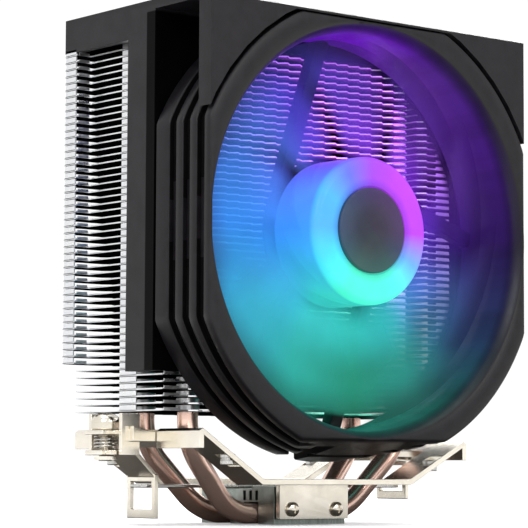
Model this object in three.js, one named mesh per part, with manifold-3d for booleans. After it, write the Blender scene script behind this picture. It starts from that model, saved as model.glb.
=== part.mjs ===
// CPU tower cooler: two copper heat pipes, a stack of aluminium fins, a black shroud with a
// 120 mm lit fan, and a stamped mounting frame with a screw-tensioned hook.
// Millimetres, +Z up, fan facing -Y. The origin is the centre of the base's contact face.
import * as THREE from 'three';
import { mergeVertices } from 'three/addons/utils/BufferGeometryUtils.js';
import Module from 'manifold-3d';

const wasm = await Module();
wasm.setup();

// ---- driving dimensions -------------------------------------------------------------------
const GAP = 0.3; // clearance between touching pieces
const HALF_WIDTH = 60; // fan frame and shroud, each way along X
const FRONT_Y = -46; // front face of the fan
const FAN_BACK_Y = -21;
const REAR_Y = 23.8; // rear face of the fin wings and the shroud
const FAN_Z = 84; // fan axis height
const TOP_Z = 147; // top of the shroud
const CAP_Z = 137; // lower edge of the shroud's cap

const RING_RADIUS = 66; // fan frame's round outline, clipped to the square
const DUCT_RADIUS = 57.2;
const DUCT_SIDES = 40;
const ARC_STEPS = 6; // facets on each of the frame's four round corners
const MOUTH_RADIUS = 59.2; // flared front of the duct
const GROOVE_DEPTH = 1.7;
const GROOVES_Y = [[-43, -39.6], [-36.5, -33.4], [-30.3, -27.2]];
const CABLE_NOTCH_X = [-16, -9.5]; // nick in the rear edge for the fan's cable
const CABLE_NOTCH_Z = 22.5;
const STRUT_WIDTH = 4.5;
const STRUT_DEPTH = 4.4;
const ARC_GAP_RADIUS = 67.3; // shroud corners stop at this radius

const FIN_COUNT = 53;
const FIN_PITCH = 2;
const FIN_THICKNESS = 0.4;
const FIN_LOW_Z = 32; // lowest fin
const FIN_HALF_WIDTH = 55;
const FIN_FRONT_Y = -18.4;
const WING_FRONT_Y = 17.6; // rear columns of folded tabs
const WING_LOW_Z = 45;
const TAB_X = [31, 35]; // short front tabs that tie the lowest fins together

const PIPE_RADIUS = 3;
const PIPE_X = 40; // legs of the U
const PIPE_Y = 10.5; // the two pipes' legs stand at plus and minus this
const PIPE_BASE_Y = 6.5; // they draw together towards the base
const PIPE_LOW_Z = 3.1; // centre line inside the base
const PIPE_TOP_Z = 141;
const PIPE_BASE_X = 21.9; // where the slanted run meets the base run
const PIPE_KNEE_Z = 23.2; // where the slanted run meets the leg
const PIPE_BEND = 18; // bend radius of the centre line

const BASE_HALF_X = 13.5;
const BASE_HALF_Y = 17;
const BASE_TOP_Z = 11;

const HUB_RADIUS = 21.3;
const HUB_FRONT_Y = -44.4;
const BLADES = 9;
const BLADE_TIP_RADIUS = 56.2;
const BLADE_SPREAD = 0.88; // angle that one blade covers, in radians
const BLADE_MID_Y = -33.8;
const SHAFT_RADIUS = 1.5;

const SHEET = 1.6; // mounting frame's sheet thickness
const STRIP_Z = 11.5; // underside of the frame's front and rear strips
const STRIP_EDGE_Y = 30; // outer edge of the strips
const FLANGE_Y = 17.4; // inner face of the down-turned flanges
const ARM_IN_X = 28.3; // arms start to rise
const ARM_OUT_X = 49.2;
const ARM_OUT_Z = { left: 25.2, right: 22.5 }; // underside of the arms' outer ends
const LIP_DROP = 5.2;
const ARM_INNER_Y = 18;

const SCREW_X = -61; // tension screw's axis
const SCREW_RADIUS = 2;
const HOOK_X = 48;
const HOOK_HALF_Y = 6.7;
const HOOK_LOW_Z = 1.8; // left hook when slack
const HOOK_HIGH_Z = 7; // right hook, fixed
const HOOK_SHEET = 1.4;
const BAR_HALF_Y = 4; // guide bar, clear of the pipes on both sides

const FLANGE_X = 13.1; // half width of the flanges that are screwed to the base
const SCREW_SPACING = 16.8; // between the two screws of a flange
const SCREW_Z = 4.4;
const BUSHING_X = 38.5; // slots in the arms
const BUSHING_Y = 27;
const SLOT_HALF = 2.6;

const YOKE_X = [-61.3, -55];
const YOKE_Z = [19.6, 31.4];
const YOKE_HALF_Y = 8;
const YOKE_SHEET = 1.4;
const BRIDGE_Z = [25.4, 26.6]; // plate under the tension screw's head
const TONGUE_X = -65.4; // free end of the bridge and of the hook's plate
const EAR_X = -58.7;
const EAR_Y = 8.3; // inner face of the yoke's two ears
const EAR_LOW_Z = 23.5; // above the hook's plate when it is fully lifted

// ---- finishes -----------------------------------------------------------------------------
const finish = (color, roughness, metalness) =>
  new THREE.MeshStandardMaterial({ color, roughness, metalness });
const BLACK_PLASTIC = finish(0x1c1b1d, 0.55, 0);
const ALUMINIUM = finish(0xd6d8da, 0.35, 1);
const COPPER = finish(0xd09a80, 0.22, 1);
const NICKEL = finish(0xd9d4c6, 0.28, 1);
const STEEL = finish(0x9a9a9c, 0.3, 1);
const BRASS = finish(0xb89a54, 0.35, 1);
const MILKY = finish(0x8fb4e8, 0.4, 0);
const DARK_GREY = finish(0x3c3d45, 0.5, 0);
const RUBBER = finish(0x202022, 0.9, 0);
const BOARD = finish(0x1f5a38, 0.6, 0);
const MAGNET = finish(0x2e2c2b, 0.8, 0);
const LAMINATION = finish(0x6c6f74, 0.5, 1);

// ---- solid helpers ------------------------------------------------------------------------
function toSolid(geometry) {
  const bare = geometry.clone();
  bare.deleteAttribute('normal');
  bare.deleteAttribute('uv');
  const merged = mergeVertices(bare, 1e-4);
  const triVerts = new Uint32Array(merged.index.array);
  const vertProperties = new Float32Array(merged.attributes.position.array);
  return new wasm.Manifold(new wasm.Mesh({ numProp: 3, vertProperties, triVerts }));
}

function toGeometry(solid) {
  const data = solid.getMesh();
  const geometry = new THREE.BufferGeometry();
  geometry.setAttribute('position', new THREE.BufferAttribute(data.vertProperties, 3));
  geometry.setIndex(new THREE.BufferAttribute(data.triVerts, 1));
  return geometry;
}

const joined = (...solids) => solids.reduce((sum, next) => sum.add(next));
const cut = (body, ...tools) => tools.reduce((rest, tool) => rest.subtract(tool), body);

function block(x0, x1, y0, y1, z0, z1) {
  const box = new THREE.BoxGeometry(x1 - x0, y1 - y0, z1 - z0);
  return toSolid(box.translate((x0 + x1) / 2, (y0 + y1) / 2, (z0 + z1) / 2));
}

function rodY(radius, y0, y1, x, z, sides = 24, radiusAtY1 = radius) {
  const rod = new THREE.CylinderGeometry(radiusAtY1, radius, y1 - y0, sides);
  return toSolid(rod.translate(x, (y0 + y1) / 2, z));
}

function rodZ(radius, z0, z1, x, y, sides = 16) {
  const rod = new THREE.CylinderGeometry(radius, radius, z1 - z0, sides);
  return toSolid(rod.rotateX(Math.PI / 2).translate(x, y, (z0 + z1) / 2));
}

// A flat outline in X and Z, pushed along Y from y0 to y1.
function extrudeY(shape, y0, y1, curveSegments = 12) {
  const options = { depth: y1 - y0, bevelEnabled: false, steps: 1, curveSegments };
  const body = new THREE.ExtrudeGeometry(shape, options);
  return toSolid(body.rotateX(Math.PI / 2).translate(0, y1, 0));
}

// Profiles are lists of [radius, height] points; a counter-clockwise one faces outwards.
function turned(profile, sides) {
  const points = profile.map(([radius, height]) => new THREE.Vector2(radius, height));
  const ordered = THREE.ShapeUtils.isClockWise(points) ? points.reverse() : points;
  return new THREE.LatheGeometry(ordered, sides);
}

const turnedY = (profile, x, z, sides) => toSolid(turned(profile, sides).translate(x, 0, z));

const turnedZ = (profile, x, y, sides) =>
  toSolid(turned(profile, sides).rotateX(Math.PI / 2).translate(x, y, 0));

const polygon = (points) => new THREE.Shape(points.map(([x, y]) => new THREE.Vector2(x, y)));

const cooler = new THREE.Group();

function addPart(name, solid, material, group = cooler) {
  const mesh = new THREE.Mesh(toGeometry(solid), material);
  mesh.name = name;
  group.add(mesh);
  return mesh;
}

// ---- base, heat pipes and fins ------------------------------------------------------------
function makeBase() {
  const body = block(-BASE_HALF_X, BASE_HALF_X, -BASE_HALF_Y, BASE_HALF_Y, 0, BASE_TOP_Z);
  const grooveHalf = PIPE_RADIUS + GAP;
  const grooves = [-PIPE_BASE_Y, PIPE_BASE_Y].map((y) =>
    block(-20, 20, y - grooveHalf, y + grooveHalf, -1, PIPE_LOW_Z + grooveHalf));
  const barChannel = block(-20, 20, -HOOK_HALF_Y - GAP, HOOK_HALF_Y + GAP, BASE_TOP_Z - 0.8, 20);
  const sideSlots = [];
  for (const side of [-1, 1]) {
    for (const y of [-9, -6.2, -3.4]) {
      const x = side * BASE_HALF_X;
      sideSlots.push(block(x - 2.5, x + 2.5, y - 0.6, y + 0.6, 6.9, 9.7));
    }
  }
  return cut(body, ...grooves, barChannel, ...sideSlots);
}

// Side -1 is the front pipe, +1 the rear one.
function pipeCentreLine(side) {
  const legY = side * PIPE_Y;
  const baseY = side * PIPE_BASE_Y;
  const corners = [
    [-PIPE_X, legY, PIPE_TOP_Z], [-PIPE_X, legY, PIPE_KNEE_Z], [-PIPE_BASE_X, baseY, PIPE_LOW_Z],
    [PIPE_BASE_X, baseY, PIPE_LOW_Z], [PIPE_X, legY, PIPE_KNEE_Z], [PIPE_X, legY, PIPE_TOP_Z],
  ].map((corner) => new THREE.Vector3(...corner));
  const path = new THREE.CurvePath();
  let start = corners[0];
  for (let i = 1; i < corners.length - 1; i += 1) {
    const back = corners[i - 1].clone().sub(corners[i]).normalize();
    const onward = corners[i + 1].clone().sub(corners[i]).normalize();
    const turn = Math.PI - back.angleTo(onward);
    const reach = PIPE_BEND * Math.tan(turn / 2);
    const bendStart = corners[i].clone().addScaledVector(back, reach);
    const bendEnd = corners[i].clone().addScaledVector(onward, reach);
    path.add(new THREE.LineCurve3(start, bendStart));
    path.add(new THREE.QuadraticBezierCurve3(bendStart, corners[i], bendEnd));
    start = bendEnd;
  }
  path.add(new THREE.LineCurve3(start, corners[corners.length - 1]));
  return path;
}

// A round tube's ends are flat; its rings stand where the centre line bends.
function makePipe(side) {
  const sides = 10;
  const stations = [];
  for (const piece of pipeCentreLine(side).curves) {
    const steps = piece.isLineCurve3 ? 1 : 4;
    for (let i = 0; i < steps; i += 1) {
      stations.push([piece.getPoint(i / steps), piece.getTangent(i / steps)]);
    }
  }
  stations.push([new THREE.Vector3(PIPE_X, side * PIPE_Y, PIPE_TOP_Z), new THREE.Vector3(0, 0, 1)]);
  const across = new THREE.Vector3(0, 1, 0);
  const positions = [];
  for (const [centre, tangent] of stations) {
    const inPlane = tangent.clone().cross(across).normalize();
    for (let i = 0; i < sides; i += 1) {
      const angle = (2 * Math.PI * (i + 0.5)) / sides;
      const point = centre.clone().addScaledVector(across, PIPE_RADIUS * Math.cos(angle));
      point.addScaledVector(inPlane, PIPE_RADIUS * Math.sin(angle));
      positions.push(point.x, point.y, point.z);
    }
  }
  const index = [];
  for (let ring = 0; ring < stations.length - 1; ring += 1) {
    for (let i = 0; i < sides; i += 1) {
      const a = ring * sides + i;
      const b = ring * sides + ((i + 1) % sides);
      index.push(a, b, a + sides, b, b + sides, a + sides);
    }
  }
  const last = (stations.length - 1) * sides;
  for (let i = 1; i < sides - 1; i += 1) {
    index.push(0, i + 1, i, last, last + i, last + i + 1);
  }
  const geometry = new THREE.BufferGeometry();
  geometry.setAttribute('position', new THREE.Float32BufferAttribute(positions, 3));
  geometry.setIndex(index);
  return toSolid(geometry);
}

function makeFinStack() {
  const window = PIPE_RADIUS + GAP;
  const windows = [];
  for (const x of [-PIPE_X, PIPE_X]) {
    for (const y of [-PIPE_Y, PIPE_Y]) {
      windows.push(block(x - window, x + window, y - window, y + window, -1, 1));
    }
  }
  const sheet = block(-FIN_HALF_WIDTH, FIN_HALF_WIDTH, FIN_FRONT_Y, REAR_Y, 0, FIN_THICKNESS);
  const plate = cut(sheet, ...windows);
  const topZ = FIN_LOW_Z + (FIN_COUNT - 1) * FIN_PITCH + FIN_THICKNESS;
  const pieces = [];
  for (let i = 0; i < FIN_COUNT; i += 1) {
    pieces.push(plate.translate([0, 0, FIN_LOW_Z + i * FIN_PITCH]));
  }
  for (const side of [-1, 1]) {
    const wingX = [side * (FIN_HALF_WIDTH - 0.2), side * HALF_WIDTH].sort((a, b) => a - b);
    pieces.push(block(...wingX, WING_FRONT_Y, REAR_Y, WING_LOW_Z, topZ));
    const tabX = TAB_X.map((x) => side * x).sort((a, b) => a - b);
    pieces.push(block(...tabX, FIN_FRONT_Y - 0.5, FIN_FRONT_Y + 0.1, FIN_LOW_Z, WING_LOW_Z + 1.3));
  }
  return joined(...pieces);
}

addPart('base_block', makeBase(), ALUMINIUM);
addPart('heat_pipe_front', makePipe(-1), COPPER);
addPart('heat_pipe_rear', makePipe(1), COPPER);
addPart('fin_stack', makeFinStack(), ALUMINIUM);

// ---- shroud and fan frame -----------------------------------------------------------------
// A circle with its sides and top clipped flat, centred on the fan axis.
function clippedCircle(radius, half) {
  const shape = new THREE.Shape();
  const edge = Math.acos(half / radius);
  for (let quarter = 0; quarter < 4; quarter += 1) {
    const from = (quarter * Math.PI) / 2 + (quarter === 3 ? 0 : edge);
    const to = ((quarter + 1) * Math.PI) / 2 - (quarter === 2 ? 0 : edge);
    const start = new THREE.Vector2(radius * Math.cos(from), FAN_Z + radius * Math.sin(from));
    if (quarter === 0) {
      shape.moveTo(start.x, start.y);
    } else {
      shape.lineTo(start.x, start.y);
    }
    shape.absarc(0, FAN_Z, radius, from, to, false);
  }
  shape.closePath();
  return shape;
}

// A slanted rib from the motor cup to the duct's wall.
function makeStrut(turn) {
  const start = new THREE.Vector2(-17.6, 12);
  const end = new THREE.Vector2(-2, DUCT_RADIUS + 0.4);
  const along = end.clone().sub(start).normalize().multiplyScalar(STRUT_WIDTH / 2);
  const side = new THREE.Vector2(-along.y, along.x);
  const corners = [
    start.clone().sub(side), end.clone().sub(side), end.clone().add(side), start.clone().add(side),
  ].map((point) => point.rotateAround(new THREE.Vector2(0, 0), turn));
  const section = polygon(corners.map((point) => [point.x, point.y + FAN_Z]));
  return extrudeY(section, FAN_BACK_Y - STRUT_DEPTH, FAN_BACK_Y);
}

// What is cut from the frame's underside: it slopes from the full circle at the rear to
// the square's edge at the front.
function makeUnderCut() {
  const slope = (RING_RADIUS - HALF_WIDTH) / (FAN_BACK_Y - FRONT_Y);
  const section = polygon([
    [FRONT_Y - 1, FAN_Z - HALF_WIDTH + slope], [FRONT_Y - 1, FAN_Z - 80],
    [FAN_BACK_Y + 1, FAN_Z - 80], [FAN_BACK_Y + 1, FAN_Z - RING_RADIUS - slope],
  ]);
  const body = new THREE.ExtrudeGeometry(section, { depth: 160, bevelEnabled: false });
  return toSolid(body.rotateX(Math.PI / 2).rotateZ(Math.PI / 2).translate(-80, 0, 0));
}

function makeFanFrame() {
  const shell = extrudeY(clippedCircle(RING_RADIUS, HALF_WIDTH), FRONT_Y, FAN_BACK_Y, ARC_STEPS);
  const grooves = GROOVES_Y.map(([y0, y1]) => {
    const outer = block(-80, 80, y0, y1, FAN_Z - 80, FAN_Z + 80);
    const core = clippedCircle(RING_RADIUS - GROOVE_DEPTH, HALF_WIDTH - GROOVE_DEPTH);
    return outer.subtract(extrudeY(core, y0 - 1, y1 + 1, ARC_STEPS));
  });
  const duct = rodY(DUCT_RADIUS, FRONT_Y - 1, FAN_BACK_Y + 1, 0, FAN_Z, DUCT_SIDES);
  const mouth = rodY(MOUTH_RADIUS + 0.5, FRONT_Y - 1, FRONT_Y + 4, 0, FAN_Z, DUCT_SIDES, DUCT_RADIUS);
  const cableNotch = block(...CABLE_NOTCH_X, FAN_BACK_Y - 4, FAN_BACK_Y + 1, 15, CABLE_NOTCH_Z);
  const ring = cut(shell, ...grooves, duct, mouth, cableNotch, makeUnderCut());
  const cup = rodY(22, FAN_BACK_Y - 2, FAN_BACK_Y, 0, FAN_Z, 20);
  const tube = rodY(5, FAN_BACK_Y - 10, FAN_BACK_Y - 1, 0, FAN_Z, 12);
  const struts = [0, 90, 180, 270].map((degrees) => makeStrut((degrees * Math.PI) / 180));
  const bore = rodY(3.8, FAN_BACK_Y - 12, FAN_BACK_Y - 1, 0, FAN_Z, 12);
  const screwHoles = fanScrewPlaces().map(([x, z]) =>
    rodY(1.9, FAN_BACK_Y - 9, FAN_BACK_Y + 1, x, z, 8));
  return cut(joined(ring, cup, tube, ...struts), bore, ...screwHoles);
}

// Four self-tapping screws hold the frame to the shroud's back panels.
function fanScrewPlaces() {
  const radius = 61.6;
  return [38, 142, 218, 322].map((degrees) => {
    const angle = (degrees * Math.PI) / 180;
    return [radius * Math.cos(angle), FAN_Z + radius * Math.sin(angle)];
  });
}

const PANEL_FRONT_Y = FAN_BACK_Y + 0.6; // the pads fill the space before the panel
const PANEL_BACK_Y = FIN_FRONT_Y - GAP;

function makeCover() {
  const wall = 2;
  const roofSide = new THREE.Shape();
  roofSide.moveTo(FRONT_Y, FAN_Z + HALF_WIDTH + GAP);
  roofSide.lineTo(REAR_Y, FAN_Z + HALF_WIDTH + GAP);
  roofSide.lineTo(REAR_Y, TOP_Z);
  roofSide.lineTo(FRONT_Y + 9, TOP_Z);
  roofSide.quadraticCurveTo(FRONT_Y + 3, TOP_Z - 0.6, FRONT_Y, FAN_Z + HALF_WIDTH + 0.9);
  roofSide.closePath();
  const roofBody = new THREE.ExtrudeGeometry(roofSide,
    { depth: 2 * HALF_WIDTH, bevelEnabled: false, curveSegments: 3 });
  roofBody.rotateX(Math.PI / 2).rotateZ(Math.PI / 2).translate(-HALF_WIDTH, 0, 0);
  const roof = toSolid(roofBody);
  const rim = cut(
    block(-HALF_WIDTH, HALF_WIDTH, PANEL_FRONT_Y, REAR_Y, CAP_Z, TOP_Z - 1),
    block(-HALF_WIDTH + wall, HALF_WIDTH - wall, PANEL_BACK_Y, REAR_Y - wall, CAP_Z - 1, TOP_Z - 2.7),
  );
  const sides = [];
  for (const side of [-1, 1]) {
    const railX = [side * HALF_WIDTH, side * (HALF_WIDTH - 4)].sort((a, b) => a - b);
    const panelX = [side * HALF_WIDTH, side * 36].sort((a, b) => a - b);
    sides.push(block(...railX, -17.5, -7.5, 43, CAP_Z + 1));
    sides.push(block(...railX, PANEL_FRONT_Y, -17, 43, CAP_Z + 1));
    const panel = block(...panelX, PANEL_FRONT_Y, PANEL_BACK_Y, 43, CAP_Z + 1);
    const airway = rodY(DUCT_RADIUS + 0.5, PANEL_FRONT_Y - 1, PANEL_BACK_Y + 1, 0, FAN_Z, 48);
    sides.push(panel.subtract(airway));
  }
  const cornerTop = FAN_Z + HALF_WIDTH + 0.5;
  const corners = cut(
    block(-HALF_WIDTH, HALF_WIDTH, FRONT_Y, FRONT_Y + 5.5, FAN_Z + 26, cornerTop),
    rodY(ARC_GAP_RADIUS, FRONT_Y - 1, FRONT_Y + 7, 0, FAN_Z, 48),
  );
  const screwHoles = fanScrewPlaces().map(([x, z]) =>
    rodY(1.9, FAN_BACK_Y, PANEL_BACK_Y + 1, x, z, 8));
  return cut(joined(roof, rim, ...sides, corners), ...screwHoles);
}

addPart('top_cover', makeCover(), BLACK_PLASTIC);
addPart('fan_frame', makeFanFrame(), BLACK_PLASTIC);

fanScrewPlaces().forEach(([x, z], i) => {
  const pad = cut(
    rodY(3.6, FAN_BACK_Y + 0.02, PANEL_FRONT_Y - 0.02, x, z, 10),
    rodY(2.1, FAN_BACK_Y - 1, PANEL_FRONT_Y + 1, x, z, 10),
  );
  addPart(`fan_pad_${i + 1}`, pad, RUBBER);
  addPart(`fan_screw_${i + 1}`, rodY(1.5, FAN_BACK_Y - 8, PANEL_BACK_Y - 0.1, x, z, 8), STEEL);
});

// ---- fan motor and rotor ------------------------------------------------------------------
const CUP_FRONT_Y = FAN_BACK_Y - 2;

function makeStatorCore() {
  const hub = cut(
    rodY(7.2, CUP_FRONT_Y - 9, CUP_FRONT_Y - 4.5, 0, FAN_Z, 16),
    rodY(5.3, CUP_FRONT_Y - 10, CUP_FRONT_Y - 4, 0, FAN_Z, 16),
  );
  const arms = cut(
    joined(
      block(-13.2, 13.2, CUP_FRONT_Y - 9, CUP_FRONT_Y - 4.5, FAN_Z - 1.6, FAN_Z + 1.6),
      block(-1.6, 1.6, CUP_FRONT_Y - 9, CUP_FRONT_Y - 4.5, FAN_Z - 13.2, FAN_Z + 13.2),
    ),
    rodY(6, CUP_FRONT_Y - 10, CUP_FRONT_Y - 4, 0, FAN_Z, 16),
  );
  return joined(hub, arms);
}

function makeCoil(degrees) {
  const outer = new THREE.BoxGeometry(4.4, 7.6, 7.2).translate(9.8, CUP_FRONT_Y - 6.75, 0);
  const core = new THREE.BoxGeometry(6, 5.1, 3.8).translate(9.8, CUP_FRONT_Y - 6.75, 0);
  const turn = (degrees * Math.PI) / 180;
  const place = (geometry) => toSolid(geometry.rotateY(turn).translate(0, 0, FAN_Z));
  return place(outer).subtract(place(core));
}

// A thin curved sheet with thickness, sampled on a grid; place(u, v) gives its middle surface.
function sheetSolid(place, uSteps, vSteps, thickness) {
  const positions = [];
  const step = 1e-3;
  for (const side of [-0.5, 0.5]) {
    for (let i = 0; i <= uSteps; i += 1) {
      for (let j = 0; j <= vSteps; j += 1) {
        const u = i / uSteps;
        const v = j / vSteps;
        const alongU = place(u + step, v).sub(place(u - step, v));
        const alongV = place(u, v + step).sub(place(u, v - step));
        const normal = alongU.cross(alongV).normalize();
        const point = place(u, v).addScaledVector(normal, side * thickness);
        positions.push(point.x, point.y, point.z);
      }
    }
  }
  const row = vSteps + 1;
  const layer = (uSteps + 1) * row;
  const index = [];
  const quad = (a, b, c, d) => index.push(a, b, c, a, c, d);
  for (let i = 0; i < uSteps; i += 1) {
    for (let j = 0; j < vSteps; j += 1) {
      const a = i * row + j;
      quad(a, a + 1, a + row + 1, a + row);
      quad(layer + a, layer + a + row, layer + a + row + 1, layer + a + 1);
    }
  }
  for (let i = 0; i < uSteps; i += 1) {
    const a = i * row;
    const b = a + vSteps;
    quad(a, a + row, layer + a + row, layer + a);
    quad(b + row, b, layer + b, layer + b + row);
  }
  for (let j = 0; j < vSteps; j += 1) {
    const b = uSteps * row + j;
    quad(j + 1, j, layer + j, layer + j + 1);
    quad(b, b + 1, layer + b + 1, layer + b);
  }
  const geometry = new THREE.BufferGeometry();
  geometry.setAttribute('position', new THREE.Float32BufferAttribute(positions, 3));
  geometry.setIndex(index);
  return toSolid(geometry);
}

// A fan blade runs from inside the hub wall to its tip, with less pitch towards the tip.
function makeBlade(turn) {
  const rootRadius = HUB_RADIUS - 0.8;
  return sheetSolid((u, v) => {
    const radius = rootRadius + u * (BLADE_TIP_RADIUS - rootRadius);
    const angle = turn + 0.35 * u * u + (v - 0.5) * BLADE_SPREAD;
    const y = BLADE_MID_Y - (v - 0.5) * 2 * (5.2 - 0.8 * u) + 0.8 * Math.sin(Math.PI * v);
    return new THREE.Vector3(radius * Math.cos(angle), y, FAN_Z + radius * Math.sin(angle));
  }, 3, 2, 1.3);
}

function makeImpeller() {
  const back = -26;
  const hub = turnedY([
    [19.2, back], [HUB_RADIUS, back], [HUB_RADIUS, HUB_FRONT_Y + 4],
    [HUB_RADIUS - 1.2, HUB_FRONT_Y + 1.2], [HUB_RADIUS - 4, HUB_FRONT_Y], [13.4, HUB_FRONT_Y],
    [13.4, HUB_FRONT_Y + 1.2], [3, HUB_FRONT_Y + 1.2], [3, HUB_FRONT_Y + 2.4],
    [19.2, HUB_FRONT_Y + 2.4], [19.2, back],
  ], 0, FAN_Z, 24);
  const blades = [];
  for (let i = 0; i < BLADES; i += 1) {
    blades.push(makeBlade((2 * Math.PI * i) / BLADES));
  }
  return joined(hub, ...blades);
}

function makeRotorYoke() {
  const front = HUB_FRONT_Y + 2.7;
  return turnedY([
    [SHAFT_RADIUS + GAP, front], [18.9, front], [18.9, -26.4], [18, -26.4], [18, front + 0.9],
    [SHAFT_RADIUS + GAP, front + 0.9], [SHAFT_RADIUS + GAP, front],
  ], 0, FAN_Z, 24);
}

const ringY = (inner, outer, y0, y1, sides) => turnedY(
  [[inner, y0], [outer, y0], [outer, y1], [inner, y1], [inner, y0]], 0, FAN_Z, sides);

addPart('fan_pcb', ringY(6, 16, CUP_FRONT_Y - 1.9, CUP_FRONT_Y - GAP, 20), BOARD);
addPart('stator_core', makeStatorCore(), LAMINATION);
for (let i = 0; i < 4; i += 1) {
  addPart(`stator_coil_${i + 1}`, makeCoil(i * 90), COPPER);
}
addPart('bearing_sleeve', ringY(SHAFT_RADIUS + GAP, 3.5, -35, -23, 16), BRASS);

addPart('impeller', makeImpeller(), MILKY);
addPart('hub_cap', rodY(13, HUB_FRONT_Y - 0.5, HUB_FRONT_Y + 0.9, 0, FAN_Z, 32), DARK_GREY);
addPart('rotor_yoke', makeRotorYoke(), STEEL);
addPart('magnet_ring', ringY(14.8, 17.7, -38.5, -27, 24), MAGNET);
addPart('rotor_shaft', rodY(SHAFT_RADIUS, HUB_FRONT_Y + 2.7, -22.6, 0, FAN_Z, 12), STEEL);

// ---- mounting frame -----------------------------------------------------------------------
// The sheet's section across X: a flat strip, two rising arms and two down-turned lips.
function armSection(outZ) {
  const rise = Math.atan2(outZ - STRIP_Z, ARM_OUT_X - ARM_IN_X);
  const mitre = SHEET * Math.tan(rise / 2);
  const lipZ = outZ - LIP_DROP + SHEET;
  return [
    [ARM_IN_X, STRIP_Z], [ARM_OUT_X, outZ], [ARM_OUT_X, lipZ], [ARM_OUT_X + SHEET, lipZ],
    [ARM_OUT_X + SHEET, outZ + 1.2], [ARM_OUT_X + 0.4, outZ + SHEET + 0.4],
    [ARM_IN_X - mitre, STRIP_Z + SHEET],
  ];
}

function makeMountingFrame() {
  const leftSection = armSection(ARM_OUT_Z.left).map(([x, z]) => [-x, z]).reverse();
  const section = polygon([...armSection(ARM_OUT_Z.right), ...leftSection]);
  const window = block(-ARM_OUT_X + 5, ARM_OUT_X - 5, -ARM_INNER_Y, ARM_INNER_Y, 0, 40);
  const hookGapY = EAR_Y + SHEET + GAP;
  const hookGap = block(-60, -ARM_OUT_X, -hookGapY, hookGapY, 0, 40);
  const sheet = cut(extrudeY(section, -STRIP_EDGE_Y, STRIP_EDGE_Y), window, hookGap);
  const bridgeRoots = [];
  const flanges = [];
  const screwHoles = [];
  const slots = [];
  for (const side of [-1, 1]) {
    const rootY = [side * FLANGE_Y, side * (ARM_INNER_Y + 1)].sort((a, b) => a - b);
    bridgeRoots.push(block(-FLANGE_X, FLANGE_X, ...rootY, STRIP_Z, STRIP_Z + SHEET));
    const flangeY = [side * FLANGE_Y, side * (FLANGE_Y + SHEET)].sort((a, b) => a - b);
    flanges.push(block(-FLANGE_X, FLANGE_X, ...flangeY, 1.6, STRIP_Z + 0.5));
    for (const x of [-SCREW_SPACING / 2, SCREW_SPACING / 2]) {
      screwHoles.push(rodY(1.8, side * 20 - 4, side * 20 + 4, x, SCREW_Z, 12));
    }
    for (const x of [-BUSHING_X, BUSHING_X]) {
      const y = side * BUSHING_Y;
      slots.push(block(x - SLOT_HALF, x + SLOT_HALF, y - SLOT_HALF, y + SLOT_HALF, 10, 30));
    }
  }
  return cut(joined(sheet, ...bridgeRoots, ...flanges), ...screwHoles, ...slots);
}

// A pan-head screw along Y with a cross recess; side -1 faces front, +1 faces back.
function makeFrameScrew(x, side) {
  const seat = FLANGE_Y + SHEET + 0.05;
  const profile = [
    [0, seat], [2.1, seat], [2.1, seat + 0.7], [1.2, seat + 1.5], [0, seat + 1.5],
  ];
  const head = turnedY(profile, x, SCREW_Z, 12);
  const shank = rodY(1.4, FLANGE_Y - 0.1, seat + 0.3, x, SCREW_Z, 8);
  const crossZ = block(x - 0.25, x + 0.25, seat + 0.8, seat + 3, SCREW_Z - 1.1, SCREW_Z + 1.1);
  const crossX = block(x - 1.1, x + 1.1, seat + 0.8, seat + 3, SCREW_Z - 0.25, SCREW_Z + 0.25);
  const screw = cut(joined(head, shank), crossZ, crossX);
  return side > 0 ? screw : screw.mirror([0, 1, 0]);
}

function makeBushing(x, y) {
  const outZ = x < 0 ? ARM_OUT_Z.left : ARM_OUT_Z.right;
  const seatZ = STRIP_Z + ((BUSHING_X - ARM_IN_X) * (outZ - STRIP_Z)) / (ARM_OUT_X - ARM_IN_X);
  const sleeve = rodZ(2.2, seatZ - 1.2, seatZ + 1.9, x, y, 12);
  return sleeve.subtract(rodZ(1.6, seatZ - 3, seatZ + 6, x, y, 12));
}

addPart('mounting_frame', makeMountingFrame(), NICKEL);
let screwNumber = 1;
for (const side of [-1, 1]) {
  for (const x of [-SCREW_SPACING / 2, SCREW_SPACING / 2]) {
    addPart(`frame_screw_${screwNumber}`, makeFrameScrew(x, side), STEEL);
    const bushing = makeBushing(Math.sign(x) * BUSHING_X, side * BUSHING_Y);
    addPart(`frame_bushing_${screwNumber}`, bushing, STEEL);
    screwNumber += 1;
  }
}

// ---- hooks, guide bar and tension screw ---------------------------------------------------
function makeGuideBar() {
  const rightEnd = HOOK_X - HOOK_SHEET / 2 - GAP;
  return block(-HOOK_X - 1.6, rightEnd, -BAR_HALF_Y, BAR_HALF_Y, BASE_TOP_Z - 0.5, BASE_TOP_Z + 0.5);
}

// A hook is an upright plate with a window that catches a socket lug.
function hookPlate(x, lowZ, topZ) {
  const plate = block(x - HOOK_SHEET / 2, x + HOOK_SHEET / 2, -HOOK_HALF_Y, HOOK_HALF_Y, lowZ, topZ);
  const catchZ = lowZ + 2.6;
  return plate.subtract(block(x - 2, x + 2, -5, 5, catchZ, catchZ + 7.8));
}

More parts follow.
